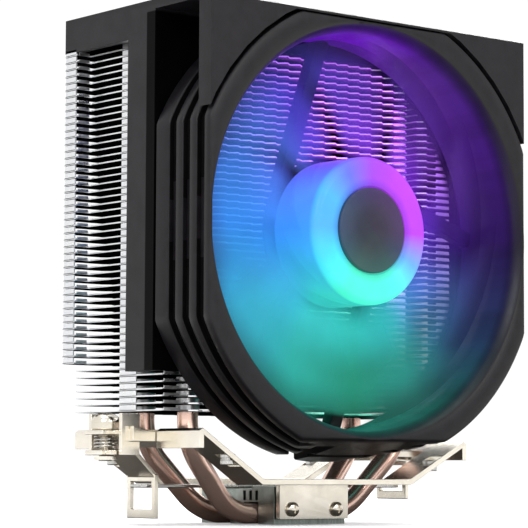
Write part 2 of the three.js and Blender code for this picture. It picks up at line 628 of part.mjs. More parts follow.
// The left hook hangs from a flat plate between the yoke's walls.
function makeLeftHook() {
  const plate = hookPlate(-HOOK_X, HOOK_LOW_Z, 14.3);
  const halfY = YOKE_HALF_Y - YOKE_SHEET - 0.5;
  const outer = -HOOK_X - HOOK_SHEET / 2;
  const inner = -HOOK_X + HOOK_SHEET / 2;
  const arm = extrudeY(polygon([
    [inner, 13], [inner, 14.3], [-54.6, YOKE_Z[0] + HOOK_SHEET], [TONGUE_X, YOKE_Z[0] + HOOK_SHEET],
    [TONGUE_X, YOKE_Z[0]], [-55.2, YOKE_Z[0]], [outer, 13.6], [outer, 13],
  ]), -halfY, halfY);
  const corners = [-1, 1].map((side) => block(-70, TONGUE_X + 1.6, side * 6 - 2, side * 6 + 2, 19, 22));
  return cut(joined(plate, arm), rodZ(2.5, 10, 25, SCREW_X, 0), ...corners);
}

function makeRightHook() {
  const plate = hookPlate(HOOK_X, HOOK_HIGH_Z, 21);
  const foot = block(HOOK_X - 3.4, HOOK_X + 0.7, -HOOK_HALF_Y, HOOK_HALF_Y, 18.4, 19.6);
  return joined(plate, foot);
}

// Two walls joined by a bridge that carries the screw's head; an ear on each wall reaches
// the frame's left rail.
function makeYoke() {
  const body = block(...YOKE_X, -YOKE_HALF_Y, YOKE_HALF_Y, ...YOKE_Z);
  const inner = YOKE_HALF_Y - YOKE_SHEET;
  const below = block(-80, -40, -inner, inner, 0, BRIDGE_Z[0]);
  const above = block(-80, -40, -inner, inner, BRIDGE_Z[1], 40);
  const bridge = block(TONGUE_X + 0.2, YOKE_X[0] + 1, -4.4, 4.4, ...BRIDGE_Z);
  const ears = [-EAR_Y - SHEET, EAR_Y].map((y) => extrudeY(polygon([
    [EAR_X, EAR_LOW_Z], [-ARM_OUT_X, EAR_LOW_Z], [-ARM_OUT_X, 26],
    [-ARM_OUT_X - 4, 26.6], [EAR_X, 27.8],
  ]), y, y + SHEET));
  const roots = [-1, 1].map((side) => {
    const rootY = [side * (EAR_Y + 0.1), side * (YOKE_HALF_Y - 0.1)].sort((a, b) => a - b);
    return block(EAR_X, YOKE_X[1], ...rootY, EAR_LOW_Z, 26.8);
  });
  const yoke = joined(cut(body, below, above), bridge, ...ears, ...roots);
  return cut(yoke, rodZ(SCREW_RADIUS + 0.5, 10, 30, SCREW_X, 0));
}

function makeTensionScrew() {
  const seat = BRIDGE_Z[1] + 0.2;
  const head = turnedZ([
    [0, seat], [4.2, seat], [4.2, seat + 2.2], [3.4, seat + 3.9], [1.8, seat + 4.8], [0, seat + 5],
  ], SCREW_X, 0, 20);
  const shank = rodZ(SCREW_RADIUS, 18, seat + 0.4, SCREW_X, 0, 12);
  const slot = block(SCREW_X - 5, SCREW_X + 5, -0.5, 0.5, seat + 3.8, seat + 6);
  return joined(head, shank).subtract(slot);
}

const SPRING_Z = [YOKE_Z[0] + 2, BRIDGE_Z[0] - 0.5];
const SPRING_TURNS = 3.5;

class SpringPath extends THREE.Curve {
  getPoint(t) {
    const angle = 2 * Math.PI * SPRING_TURNS * t;
    const z = SPRING_Z[0] + t * (SPRING_Z[1] - SPRING_Z[0]);
    return new THREE.Vector3(SCREW_X + 3.1 * Math.cos(angle), 3.1 * Math.sin(angle), z);
  }
}

function makeSpring() {
  const half = 0.25;
  const wire = polygon([[half, 0], [0, half], [-half, 0], [0, -half]]);
  const body = new THREE.ExtrudeGeometry(wire, {
    steps: 42, bevelEnabled: false, extrudePath: new SpringPath(),
  });
  return toSolid(body);
}

function makeNut() {
  const top = YOKE_Z[0] - GAP;
  return turnedZ([
    [2.3, top - 1], [3.3, top - 1], [3.3, top], [2.3, top], [2.3, top - 1],
  ], SCREW_X, 0, 12);
}

addPart('guide_bar', makeGuideBar(), STEEL);
addPart('hook_right', makeRightHook(), NICKEL);
addPart('tension_yoke', makeYoke(), NICKEL);
addPart('tension_spring', makeSpring(), STEEL);
addPart('tension_screw', makeTensionScrew(), NICKEL);
addPart('hook_left', makeLeftHook(), NICKEL);
addPart('hook_nut', makeNut(), NICKEL);

export default cooler;
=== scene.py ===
import math
import bmesh
import bpy
from mathutils import Matrix, Vector
from mathutils.geometry import delaunay_2d_cdt


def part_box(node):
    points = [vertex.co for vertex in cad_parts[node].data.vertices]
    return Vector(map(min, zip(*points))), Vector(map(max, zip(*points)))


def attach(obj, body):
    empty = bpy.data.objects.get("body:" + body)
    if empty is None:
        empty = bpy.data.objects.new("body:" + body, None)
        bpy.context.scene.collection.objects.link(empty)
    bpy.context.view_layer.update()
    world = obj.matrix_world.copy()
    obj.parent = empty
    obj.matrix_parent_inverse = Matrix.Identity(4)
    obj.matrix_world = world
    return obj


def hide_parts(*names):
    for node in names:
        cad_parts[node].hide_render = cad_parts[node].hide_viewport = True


# A CPU tower cooler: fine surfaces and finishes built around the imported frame.
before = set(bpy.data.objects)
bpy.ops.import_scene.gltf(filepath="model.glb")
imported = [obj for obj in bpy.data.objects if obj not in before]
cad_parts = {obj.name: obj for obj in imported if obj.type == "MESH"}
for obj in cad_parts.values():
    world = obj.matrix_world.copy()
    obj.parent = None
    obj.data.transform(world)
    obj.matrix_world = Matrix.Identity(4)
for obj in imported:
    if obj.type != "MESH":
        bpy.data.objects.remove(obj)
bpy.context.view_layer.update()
scene = bpy.context.scene
MM = 0.001  # sizes below are in millimetres


def box_mm(node):
    low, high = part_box(node)
    return low / MM, high / MM


# ---- sizes that come from the frame ---------------------------------------------------
FRAME_LOW, FRAME_HIGH = box_mm("fan_frame")
FRONT_Y = FRAME_LOW.y
BACK_Y = FRAME_HIGH.y
HALF_WIDTH = FRAME_HIGH.x
FAN_Z = FRAME_HIGH.z - FRAME_HIGH.x
FINS_LOW, FINS_HIGH = box_mm("fin_stack")
PIPE_LOW, PIPE_HIGH = box_mm("heat_pipe_front")
REAR_PIPE_HIGH = box_mm("heat_pipe_rear")[1]
HUB_FRONT_Y = box_mm("impeller")[0].y
CAP_LOW, CAP_HIGH = box_mm("hub_cap")
SCREW_LOW, SCREW_HIGH = box_mm("tension_screw")

# ---- sizes of the fine shapes ---------------------------------------------------------
RING_RADIUS = 66
DUCT_RADIUS = 57.2
MOUTH_RADIUS = 59.2
MOUTH_BACK_Y = FRONT_Y + 5  # where the mouth's flare meets the duct
MOUTH_FLARE_DEPTH = 4.6
GROOVE_DEPTH = 1.7
GROOVES_Y = ((-43, -39.6), (-36.5, -33.4), (-30.3, -27.2))
RING_STEPS = 288
CABLE_NOTCH_X = (-16.5, -9.5)
CABLE_NOTCH_Z = (15, 22.4)
CUP_RADIUS = 22  # the motor's cup in the frame's back
CUP_BORE = 3.8
STRUT_START = (-17.6, 12)
STRUT_END = (-2, 57.6)
STRUT_HALF_WIDTH = 2.25
RAIL_EDGE_Y = -16.5  # front edge of the shroud's side rails
RECESS_TOP_Z = 144  # the painted shade of the side recess ends here, under the cap

FIN_COUNT = 53
LOW_FIN_COUNT = 7
FIN_PITCH = 2
FIN_THICKNESS = 0.4
FIN_HALF_WIDTH = 55
FIN_FRONT_Y = -18.4
TOOTH_PITCH = 4.6
TOOTH_DEPTH = 1.8
TOOTH_HALF_SPAN = 46
NOTCH_BACK_Y = -14.2  # bottom of the notch in front of each front leg
WING_FRONT_Y = 17.6
TAB_HEIGHT = 1.8
LIP_X = (49.4, 54.6)  # low lips on the fins' front corners
LIP_HEIGHT = 0.75
COLLAR_RADII = (3.02, 3.35)  # sleeves round the heat pipes

PIPE_RADIUS = 3
PIPE_X = PIPE_HIGH.x - PIPE_RADIUS
PIPE_ROWS = (PIPE_LOW.y + PIPE_RADIUS, REAR_PIPE_HIGH.y - PIPE_RADIUS)  # Y of the legs
PIPE_BASE_X = 21.9
PIPE_BASE_Y = 6.5
PIPE_KNEE_Z = 23.2
PIPE_BEND = 18
PIPE_LOW_Z = 3.1

HUB_RADIUS = 21.3
HUB_ROUNDING = 2.2
HUB_BACK_Y = -26
HUB_DISC_RADIUS = 12.3
BLADES = 9
BLADE_TIP_RADIUS = 56.2
BLADE_SPREAD = 0.96
BLADE_MID_Y = -33.8
BLADE_ROOT_RADIUS = HUB_RADIUS - 0.8

SCREW_PITCH = 0.7
SCREW_RADIUS = 2
SPRING_RADIUS = 3.1
SPRING_WIRE_RADIUS = 0.27
SPRING_TURNS = 3.5
RECESS_HALF = 0.28  # half the width of a cross recess

# ---- node and mesh helpers ------------------------------------------------------------


def linear(code):
    """A colour code such as 8f45ec as linear red, green, blue and alpha."""
    parts = [int(code[i:i + 2], 16) / 255 for i in (0, 2, 4)]
    return [p / 12.92 if p <= 0.04045 else ((p + 0.055) / 1.055) ** 2.4 for p in parts] + [1.0]


def start_finish(name):
    material = bpy.data.materials.new(name)
    material.use_nodes = True
    tree = material.node_tree
    tree.nodes.clear()
    output = tree.nodes.new("ShaderNodeOutputMaterial")
    shader = tree.nodes.new("ShaderNodeBsdfPrincipled")
    tree.links.new(shader.outputs["BSDF"], output.inputs["Surface"])
    return material, tree, shader


def feed(tree, socket, value):
    """Links a socket to another, or sets its number."""
    if isinstance(value, bpy.types.NodeSocket):
        tree.links.new(value, socket)
    else:
        socket.default_value = value


def feed_all(tree, node, values):
    for name, value in values.items():
        feed(tree, node.inputs[name], value)


def calc(tree, operation, first, second=0.0, third=0.0):
    step = tree.nodes.new("ShaderNodeMath")
    step.operation = operation
    for socket, value in zip(step.inputs, (first, second, third)):
        feed(tree, socket, value)
    return step.outputs[0]


def spread_range(tree, value, low, high, to_low=0.0, to_high=1.0):
    step = tree.nodes.new("ShaderNodeMapRange")
    step.interpolation_type = "SMOOTHSTEP"
    feed_all(tree, step, {"Value": value, "From Min": low, "From Max": high,
                          "To Min": to_low, "To Max": to_high})
    return step.outputs[0]


def object_place(tree, scale=(1, 1, 1), location=(0, 0, 0)):
    coordinates = tree.nodes.new("ShaderNodeTexCoord")
    mapping = tree.nodes.new("ShaderNodeMapping")
    feed_all(tree, mapping, {"Vector": coordinates.outputs["Object"], "Scale": scale,
                             "Location": location})
    return mapping.outputs["Vector"]


def split_axes(tree, vector):
    parts = tree.nodes.new("ShaderNodeSeparateXYZ")
    tree.links.new(vector, parts.inputs[0])
    return parts.outputs


def join_axes(tree, axis, value):
    """A vector with one axis fed and the others at zero."""
    parts = tree.nodes.new("ShaderNodeCombineXYZ")
    tree.links.new(value, parts.inputs[axis])
    return parts.outputs[0]


def noise(tree, place, scale, detail=4.0, distortion=0.0):
    texture = tree.nodes.new("ShaderNodeTexNoise")
    feed_all(tree, texture, {"Vector": place, "Scale": scale, "Detail": detail,
                             "Distortion": distortion})
    return texture.outputs[0]


def colour_ramp(tree, factor, stops):
    ramp = tree.nodes.new("ShaderNodeValToRGB")
    elements = ramp.color_ramp.elements
    while len(elements) < len(stops):
        elements.new(0.5)
    for element, (position, colour) in zip(elements, stops):
        element.position = position
        element.color = colour
    tree.links.new(factor, ramp.inputs["Fac"])
    return ramp.outputs["Color"]


def mix_colours(tree, factor, first, second):
    step = tree.nodes.new("ShaderNodeMix")
    step.data_type = "RGBA"
    feed(tree, step.inputs[0], factor)
    feed(tree, step.inputs[6], first)
    feed(tree, step.inputs[7], second)
    return step.outputs[2]


def add_bump(tree, shader, height, strength):
    relief = tree.nodes.new("ShaderNodeBump")
    feed_all(tree, relief, {"Height": height, "Strength": strength})
    tree.links.new(relief.outputs["Normal"], shader.inputs["Normal"])
    return relief


def edge_wear(tree, place, strength):
    """Where convex edges are rubbed: the mesh's pointiness, broken up by noise."""
    geometry = tree.nodes.new("ShaderNodeNewGeometry")
    edges = spread_range(tree, geometry.outputs["Pointiness"], 0.52, 0.62)
    patches = spread_range(tree, noise(tree, place, 160, 6), 0.35, 0.65, 0.25, 1.0)
    return calc(tree, "MULTIPLY", calc(tree, "MULTIPLY", edges, patches), strength)


def textured_finish(name, colour, shade, roughness, metallic=0.0, grain=900.0,
                    stretch=(1, 1, 1), bump=0.1, wear=None, wear_strength=0.5):
    """A finish with cloudy colour, grained roughness and bump, and rubbed edges."""
    material, tree, shader = start_finish(name)
    place = object_place(tree, scale=stretch)
    broad = noise(tree, place, grain * 0.12, 3, 0.4)
    fine = noise(tree, place, grain, 6)
    body = colour_ramp(tree, broad, [(0.35, linear(colour)), (0.65, linear(shade))])
    if wear:
        body = mix_colours(tree, edge_wear(tree, place, wear_strength), body, linear(wear))
    mixed = calc(tree, "MULTIPLY_ADD", broad, 0.5, calc(tree, "MULTIPLY", fine, 0.5))
    feed_all(tree, shader, {
        "Base Color": body, "Metallic": metallic,
        "Roughness": spread_range(tree, mixed, 0.35, 0.65, *roughness)})
    add_bump(tree, shader, fine, bump).inputs["Distance"].default_value = 0.05 * MM
    return material, tree, shader


# ---- light in the fan -----------------------------------------------------------------
# Colours round the fan every 30 degrees, from the left side through the bottom, the right
# side and the top.
VEIL_INNER = ("398df9", "38a7d8", "37c0c2", "31b9b0", "33b9be", "4c7cd7",
              "6131d6", "7d2ce0", "8a40ee", "7f48f0", "6352f8", "547ff7")
VEIL_MIDDLE = ("3388e8", "35a5c6", "2ea79f", "259176", "27877f", "365d8e",
               "421d88", "5b2f96", "5a2fa2", "5439b8", "4b45d0", "447edf")
VEIL_OUTER = ("2f4a8a", "28607a", "1f7567", "1d5a48", "235953", "1e2c54",
              "25114b", "3b166f", "442179", "3a2361", "2a2c72", "2f488a")
HUB_COLOURS = ("50aafd", "47dbf8", "4df9d2", "51fbd9", "53fde2", "69a9fd",
               "b642fd", "bb43fe", "bc45ff", "a048fe", "6774fc", "4eadfc")
# Painted fan light on the duct's wall.
DUCT_LIGHT_COLOURS = ("22406e", "1f5a70", "1a5f62", "165a4f", "14554c", "1b2f50",
                "26114f", "3c1870", "46207a", "5c0ab0", "48209a", "2f3a8a")
# Painted fan light on the fins' edges and the heat pipes.
FIN_LIGHT_COLOURS = ("5ab4ff", "49c8f0", "40dcd0", "3fe0b8", "60dcc0", "a0bcd8",
               "b090f0", "b060f0", "c458ff", "d060ff", "a070ff", "6a90ff")
# How closed the blades look at each turn round the fan, from the left side.
BLADE_DENSITY = ((0.0, 0.72), (0.06, 0.85), (0.12, 0.92), (0.2, 0.94), (0.33, 0.9), (0.4, 0.6),
                 (0.5, 0.38), (0.62, 0.36), (0.75, 0.36), (0.9, 0.45), (1.0, 0.72))


def fan_polar(tree):
    """Radius in millimetres, turn from 0 to 1 and Y in millimetres, about the fan's axis."""
    across, depth, up = split_axes(tree, object_place(tree, location=(0, 0, -FAN_Z * MM)))
    squares = calc(tree, "MULTIPLY_ADD", up, up, calc(tree, "MULTIPLY", across, across))
    radius = calc(tree, "DIVIDE", calc(tree, "SQRT", squares), MM)
    turn = calc(tree, "MULTIPLY_ADD", calc(tree, "ARCTAN2", up, across), 1 / math.tau, 0.5)
    return radius, turn, calc(tree, "DIVIDE", depth, MM)


def round_colours(tree, turn, colours):
    stops = [(i / len(colours), linear(code)) for i, code in enumerate(colours)]
    stops.append((1.0, linear(colours[0])))
    return colour_ramp(tree, turn, stops)


def veil_colour(tree, radius, turn):
    inner, middle, outer = (round_colours(tree, turn, colours)
                            for colours in (VEIL_INNER, VEIL_MIDDLE, VEIL_OUTER))
    near = mix_colours(tree, spread_range(tree, radius, 28, 42), inner, middle)
    return mix_colours(tree, spread_range(tree, radius, 44, 56), near, outer)


def make_blade_finish():
    """Milky blades lit from the hub, clearer at their front and back edges and lowest rim."""
    material, tree, shader = start_finish("lit blades")
    radius, turn, _ = fan_polar(tree)
    colour = veil_colour(tree, radius, turn)
    cloud = noise(tree, object_place(tree), 60, 3)
    fade = tree.nodes.new("ShaderNodeAttribute")
    fade.attribute_name = "edge_fade"
    density = colour_ramp(tree, turn, [(at, (d, d, d, 1.0)) for at, d in BLADE_DENSITY])
    root = spread_range(tree, radius, HUB_RADIUS - 1, HUB_RADIUS + 8, 0.25, 1.0)
    rim = spread_range(tree, radius, 51.0, 53.5)
    lowest = calc(tree, "MULTIPLY", spread_range(tree, turn, 0.19, 0.23),
                  spread_range(tree, turn, 0.31, 0.27))
    kept = calc(tree, "SUBTRACT", 1.0, calc(tree, "MULTIPLY", rim, lowest))
    cover = calc(tree, "MULTIPLY", calc(tree, "MULTIPLY", density, kept), fade.outputs["Fac"])
    feed_all(tree, shader, {
        "Base Color": mix_colours(tree, 0.85, colour, linear("0c0e12")),
        "Emission Color": colour,
        "Emission Strength": spread_range(tree, cloud, 0.3, 0.7, 0.84, 0.98),
        "Roughness": spread_range(tree, cloud, 0.3, 0.7, 0.35, 0.5),
        "Alpha": calc(tree, "MULTIPLY", cover, root), "Specular IOR Level": 0.05})
    add_bump(tree, shader, cloud, 0.05)
    return material


def make_hub_finish():
    """The milky hub, brightest on its rounded front ring."""
    material, tree, shader = start_finish("lit hub")
    radius, turn, depth = fan_polar(tree)
    front = round_colours(tree, turn, HUB_COLOURS)
    side = mix_colours(tree, 0.2, round_colours(tree, turn, VEIL_INNER), front)
    along = spread_range(tree, depth, HUB_FRONT_Y + 1.4, HUB_FRONT_Y + 3.5)
    colour = mix_colours(tree, along, front, side)
    cloud = noise(tree, object_place(tree), 90, 3)
    glow = spread_range(tree, cloud, 0.3, 0.7, 0.8, 0.93)
    dim = spread_range(tree, radius, 13.0, 15.5, 0.55, 1.0)
    feed_all(tree, shader, {
        "Base Color": mix_colours(tree, 0.7, colour, linear("0c0d10")),
        "Emission Color": colour, "Emission Strength": calc(tree, "MULTIPLY", glow, dim),
        "Roughness": spread_range(tree, cloud, 0.3, 0.7, 0.3, 0.42), "Specular IOR Level": 0.15})
    return material


def make_duct_finish():
    """Black plastic of the duct's wall with the fan's light on it."""
    material, tree, shader = textured_finish(
        "lit duct wall", "0c0b0e", "100f13", (0.3, 0.4), bump=0.05)
    _, turn, depth = fan_polar(tree)
    streak = noise(tree, object_place(tree, scale=(1, 0.1, 1)), 120, 3)
    level = spread_range(tree, streak, 0.3, 0.7, 0.8, 1.15)
    lip = spread_range(tree, depth, FRONT_Y + 0.5, FRONT_Y + 7, 0.15, 1.0)
    feed_all(tree, shader, {
        "Emission Color": round_colours(tree, turn, DUCT_LIGHT_COLOURS),
        "Emission Strength": calc(tree, "MULTIPLY", level, lip), "Specular IOR Level": 0.2})
    return material


def make_disc_finish():
    """The hub's dark disc, with some of the hub's light towards its rim."""
    material, tree, shader = textured_finish(
        "hub disc plastic", "282832", "30303a", (0.35, 0.5), bump=0.06)
    radius, turn, _ = fan_polar(tree)
    tint = mix_colours(tree, 0.5, round_colours(tree, turn, HUB_COLOURS), linear("3e3e4c"))
    feed_all(tree, shader, {
        "Emission Color": tint, "Emission Strength": spread_range(tree, radius, 3, 14, 0.03, 0.2),
        "Specular IOR Level": 0.15})
    return material


def facing_up(tree):
    """How far the surface faces up or down, from 0 to 1."""
    axes = split_axes(tree, tree.nodes.new("ShaderNodeTexCoord").outputs["Normal"])
    return calc(tree, "ABSOLUTE", axes["Z"])


def add_fan_light(tree, shader, front, reach, strength, edges_only=False):
    """The fan's light caught by metal behind it, fading with depth."""
    radius, turn, depth = fan_polar(tree)
    tree.links.new(round_colours(tree, turn, FIN_LIGHT_COLOURS), shader.inputs["Emission Color"])
    inside = spread_range(tree, radius, DUCT_RADIUS + 1, DUCT_RADIUS - 2)
    near = spread_range(tree, depth, front, front + reach, strength, 0.0)
    level = calc(tree, "MULTIPLY", inside, near)
    if edges_only:
        upright = spread_range(tree, facing_up(tree), 0.3, 0.7, 1.0, 0.3)
        level = calc(tree, "MULTIPLY", level, upright)
    tree.links.new(level, shader.inputs["Emission Strength"])


def paint_shade_on_fin_flats(tree, shader):
    """Painted shade on the fins' flats: faces that point up or down turn near-black, dull and not
    metallic, while the sheared edges keep the bare metal.
    """
    source = shader.inputs["Base Color"].links[0].from_socket
    level = spread_range(tree, facing_up(tree), 0.3, 0.8)
    unshaded_edges = calc(tree, "SUBTRACT", 1.0, level)
    tree.links.new(mix_colours(tree, level, source, linear("0a0a0c")), shader.inputs["Base Color"])
    tree.links.new(unshaded_edges, shader.inputs["Metallic"])
    tree.links.new(calc(tree, "MULTIPLY", unshaded_edges, 0.5), shader.inputs["Specular IOR Level"])


def paint_recess_shade(tree, shader):
    """Painted shade in the shroud's side recess, between the fan's front and the rail: near-black colour
    and little gloss.
    """
    axes = split_axes(tree, object_place(tree))
    depth = calc(tree, "DIVIDE", axes["Y"], MM)
    up = calc(tree, "DIVIDE", axes["Z"], MM)
    behind = spread_range(tree, depth, MOUTH_BACK_Y + 0.3, MOUTH_BACK_Y + 0.8)
    before = spread_range(tree, depth, RAIL_EDGE_Y + 0.3, RAIL_EDGE_Y - 0.3)
    below = spread_range(tree, up, RECESS_TOP_Z, RECESS_TOP_Z - 0.5)
    level = calc(tree, "MULTIPLY", calc(tree, "MULTIPLY", behind, before), below)
    source = shader.inputs["Base Color"].links[0].from_socket
    tree.links.new(mix_colours(tree, level, source, linear("030303")), shader.inputs["Base Color"])
    tree.links.new(spread_range(tree, level, 0, 1, 0.26, 0.04), shader.inputs["Specular IOR Level"])


def satin_plastic(name):
    material, tree, shader = textured_finish(
        name, "0d0b0f", "131115", (0.36, 0.46), grain=2600, bump=0.06, wear="2a292c",
        wear_strength=0.3)
    shader.inputs["Specular IOR Level"].default_value = 0.26
    return material, tree, shader


black_plastic = satin_plastic("black satin plastic")[0]
shroud_plastic, shroud_tree, shroud_shader = satin_plastic("shroud plastic with painted recess shade")
# painted shade in the shroud's side recess
paint_recess_shade(shroud_tree, shroud_shader)
# painted shade: near-black, dull plastic on the faces inside the ring's grooves
groove_shade_plastic, _, groove_shade_shader = textured_finish(
    "painted shade inside the grooves", "040304", "070607", (0.6, 0.8), grain=2600, bump=0.06)
groove_shade_shader.inputs["Specular IOR Level"].default_value = 0.06
nickel = textured_finish("nickel plate", "f2ece0", "ebe4d6", (0.2, 0.26), 1.0, 400,
                         bump=0.02, wear="fffaf0")[0]
bright_screw = textured_finish("plated screw steel", "f2ece0", "e8e0d0", (0.16, 0.24), 1.0, 700,
                               bump=0.03, wear="fffaf2")[0]
satin_steel = textured_finish("satin steel", "cfcecb", "c2c0bb", (0.24, 0.34), 1.0, 900,
                              stretch=(1, 6, 1), bump=0.04, wear="e6e6e6")[0]
copper, copper_tree, copper_shader = textured_finish(
    "polished copper", "fbd8ca", "f6c9b8", (0.2, 0.26), 0.8, 160, bump=0.015, wear="f8d8c8")
add_fan_light(copper_tree, copper_shader, -14, 12, 4.0)
winding = textured_finish("enamelled winding", "b06a38", "8c4f28", (0.3, 0.45), 1.0, 500,
                          stretch=(1, 9, 1), bump=0.5)[0]
fin_metal, fin_tree, fin_shader = textured_finish(
    "rolled aluminium with painted shade on flats", "f4f5f7", "e8eaee", (0.26, 0.38), 1.0, 600, stretch=(0.2, 1, 1), bump=0.03)
# painted shade on the fins' flats, between the sheets
paint_shade_on_fin_flats(fin_tree, fin_shader)
add_fan_light(fin_tree, fin_shader, FIN_FRONT_Y - TOOTH_DEPTH, 6, 1.5, edges_only=True)
milled = textured_finish("milled aluminium", "8f9a94", "7f8b85", (0.26, 0.4), 1.0, 500,
                         stretch=(8, 1, 1), bump=0.12, wear="d2d8d4")[0]
rubber = textured_finish("soft rubber", "141416", "1b1b1d", (0.75, 0.9), bump=0.3)[0]
solder_mask = textured_finish("green solder mask", "14402a", "1b5236", (0.35, 0.5), bump=0.1)[0]
lamination = textured_finish("stacked steel sheets", "6c6f74", "55585c", (0.4, 0.55), 1.0, 400,
                             stretch=(1, 14, 1), bump=0.5)[0]
turned_brass = textured_finish("turned brass", "b89a54", "a08446", (0.25, 0.4), 1.0, 700,
                               stretch=(1, 1, 8), bump=0.1)[0]
ferrite = textured_finish("bonded ferrite", "242220", "302d2a", (0.6, 0.8), bump=0.3)[0]
blade_finish = make_blade_finish()
hub_finish = make_hub_finish()
duct_finish = make_duct_finish()
disc_finish = make_disc_finish()


# ---- mesh helpers ---------------------------------------------------------------------
def tidy_surface(piece, smooth=35.0):
    work = bmesh.new()
    work.from_mesh(piece.data)
    bmesh.ops.remove_doubles(work, verts=work.verts, dist=0.002 * MM)
    bmesh.ops.recalc_face_normals(work, faces=work.faces)
    work.to_mesh(piece.data)
    work.free()
    piece.data.shade_smooth()
    piece.data.set_sharp_from_angle(angle=math.radians(smooth))


def new_piece(name, points, faces, finish, smooth=35.0):
    mesh = bpy.data.meshes.new(name)
    mesh.from_pydata([Vector(point) * MM for point in points], [], faces)
    mesh.materials.append(finish)
    piece = bpy.data.objects.new(name, mesh)
    scene.collection.objects.link(piece)
    tidy_surface(piece, smooth)
    return piece


def bake(piece):
    """Turns a piece and its modifiers into a plain mesh."""
    bpy.context.view_layer.update()
    graph = bpy.context.evaluated_depsgraph_get()
    mesh = bpy.data.meshes.new_from_object(piece.evaluated_get(graph))
    piece.modifiers.clear()
    piece.data = mesh
    return piece


def discard(*pieces):
    for piece in pieces:
        bpy.data.objects.remove(piece)


def carve(body, *tools, operation="DIFFERENCE"):
    for tool in tools:
        step = body.modifiers.new("carve", "BOOLEAN")
        step.object = tool
        step.operation = operation
        step.solver = "EXACT"
        bake(body)
    discard(*tools)
    return body


def round_edges(piece, width, segments=2, angle=32.0, smooth=35.0):
    edge = piece.modifiers.new("rounded edges", "BEVEL")
    edge.width = width * MM
    edge.segments = segments
    edge.limit_method = "ANGLE"
    edge.angle_limit = math.radians(angle)
    edge.use_clamp_overlap = True
    bake(piece)
    tidy_surface(piece, smooth)
    shading = piece.modifiers.new("flat faces stay flat", "WEIGHTED_NORMAL")
    shading.keep_sharp = True
    return bake(piece)


def grid_faces(rows, steps, closed_rows=False, closed_steps=True):
    faces = []
    for row in range(rows if closed_rows else rows - 1):
        below = ((row + 1) % rows) * steps
        for step in range(steps if closed_steps else steps - 1):
            after = (step + 1) % steps
            faces.append((row * steps + step, row * steps + after, below + after, below + step))
    return faces


def turned(name, profile, centre, along, finish, steps=48, closed=False, smooth=35.0):
    """A lathe shape: profile holds (radius, height) points."""
    x, y, z = centre
    points = []
    for radius, height in profile:
        for i in range(steps):
            u = radius * math.cos(math.tau * i / steps)
            v = radius * math.sin(math.tau * i / steps)
            points.append((x + u, y + height, z + v) if along == "Y" else (x + u, y + v, z + height))
    return new_piece(name, points, grid_faces(len(profile), steps, closed), finish, smooth)


BLOCK_FACES = ((0, 1, 3, 2), (4, 6, 7, 5), (0, 4, 5, 1), (2, 3, 7, 6), (0, 2, 6, 4), (1, 5, 7, 3))


def block_corners(low, high):
    sides = list(zip(low, high))
    return [(x, y, z) for x in sides[0] for y in sides[1] for z in sides[2]]


def block(name, low, high, finish):
    return new_piece(name, block_corners(low, high), BLOCK_FACES, finish)


def merged(name, pieces):
    """One piece with every given mesh in it."""
    work = bmesh.new()
    finishes = list(pieces[0].data.materials)
    for piece in pieces:
        work.from_mesh(piece.data)
    mesh = bpy.data.meshes.new(name)
    work.to_mesh(mesh)
    work.free()
    for finish in finishes:
        mesh.materials.append(finish)
    discard(*pieces)
    piece = bpy.data.objects.new(name, mesh)
    scene.collection.objects.link(piece)
    piece.data.set_sharp_from_angle(angle=math.radians(35))
    return piece


def softened(name, node, finish, width=0.3, segments=2, angle=32.0):
    """A copy of a CAD node with its flat faces merged and its edges rounded."""
    piece = bpy.data.objects.new(name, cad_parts[node].data.copy())
    scene.collection.objects.link(piece)
    piece.data.materials.clear()
    piece.data.materials.append(finish)
    for face in piece.data.polygons:
        face.material_index = 0
    work = bmesh.new()
    work.from_mesh(piece.data)
    bmesh.ops.remove_doubles(work, verts=work.verts, dist=0.002 * MM)
    bmesh.ops.dissolve_limit(work, angle_limit=math.radians(1), verts=work.verts, edges=work.edges)
    work.to_mesh(piece.data)
    work.free()
    return round_edges(piece, width, segments, angle)


def swept_tube(name, path, radii, finish, sides=32):
    """A tube along a path; radii holds (in plane, across) for each of its points."""
    path = [Vector(point) for point in path]
    normal = None
    points = []
    for i, point in enumerate(path):
        tangent = (path[min(i + 1, len(path) - 1)] - path[max(i - 1, 0)]).normalized()
        if normal is None:
            normal = tangent.orthogonal().normalized()
        normal = (normal - tangent * normal.dot(tangent)).normalized()
        across = tangent.cross(normal)
        wide, narrow = radii[i]
        for step in range(sides):
            angle = math.tau * step / sides
            points.append(point + normal * wide * math.cos(angle) + across * narrow * math.sin(angle))
    faces = grid_faces(len(path), sides)
    faces.append(tuple(range(sides)))
    faces.append(tuple(range((len(path) - 1) * sides, len(path) * sides)))
    return new_piece(name, points, faces, finish)


# ---- geometry node trees --------------------------------------------------------------
def new_tree(name, inputs):
    tree = bpy.data.node_groups.new(name, "GeometryNodeTree")
    tree.interface.new_socket("Geometry", in_out="INPUT", socket_type="NodeSocketGeometry")
    for label, kind in inputs:
        tree.interface.new_socket(label, in_out="INPUT", socket_type="NodeSocket" + kind)
    tree.interface.new_socket("Geometry", in_out="OUTPUT", socket_type="NodeSocketGeometry")
    return tree, tree.nodes.new("NodeGroupInput"), tree.nodes.new("NodeGroupOutput")


def end_tree(tree, entry, exit_node, instances):
    realize = tree.nodes.new("GeometryNodeRealizeInstances")
    coat = tree.nodes.new("GeometryNodeSetMaterial")
    tree.links.new(instances, realize.inputs[0])
    feed_all(tree, coat, {"Geometry": realize.outputs[0], "Material": entry.outputs["Finish"]})
    tree.links.new(coat.outputs[0], exit_node.inputs[0])


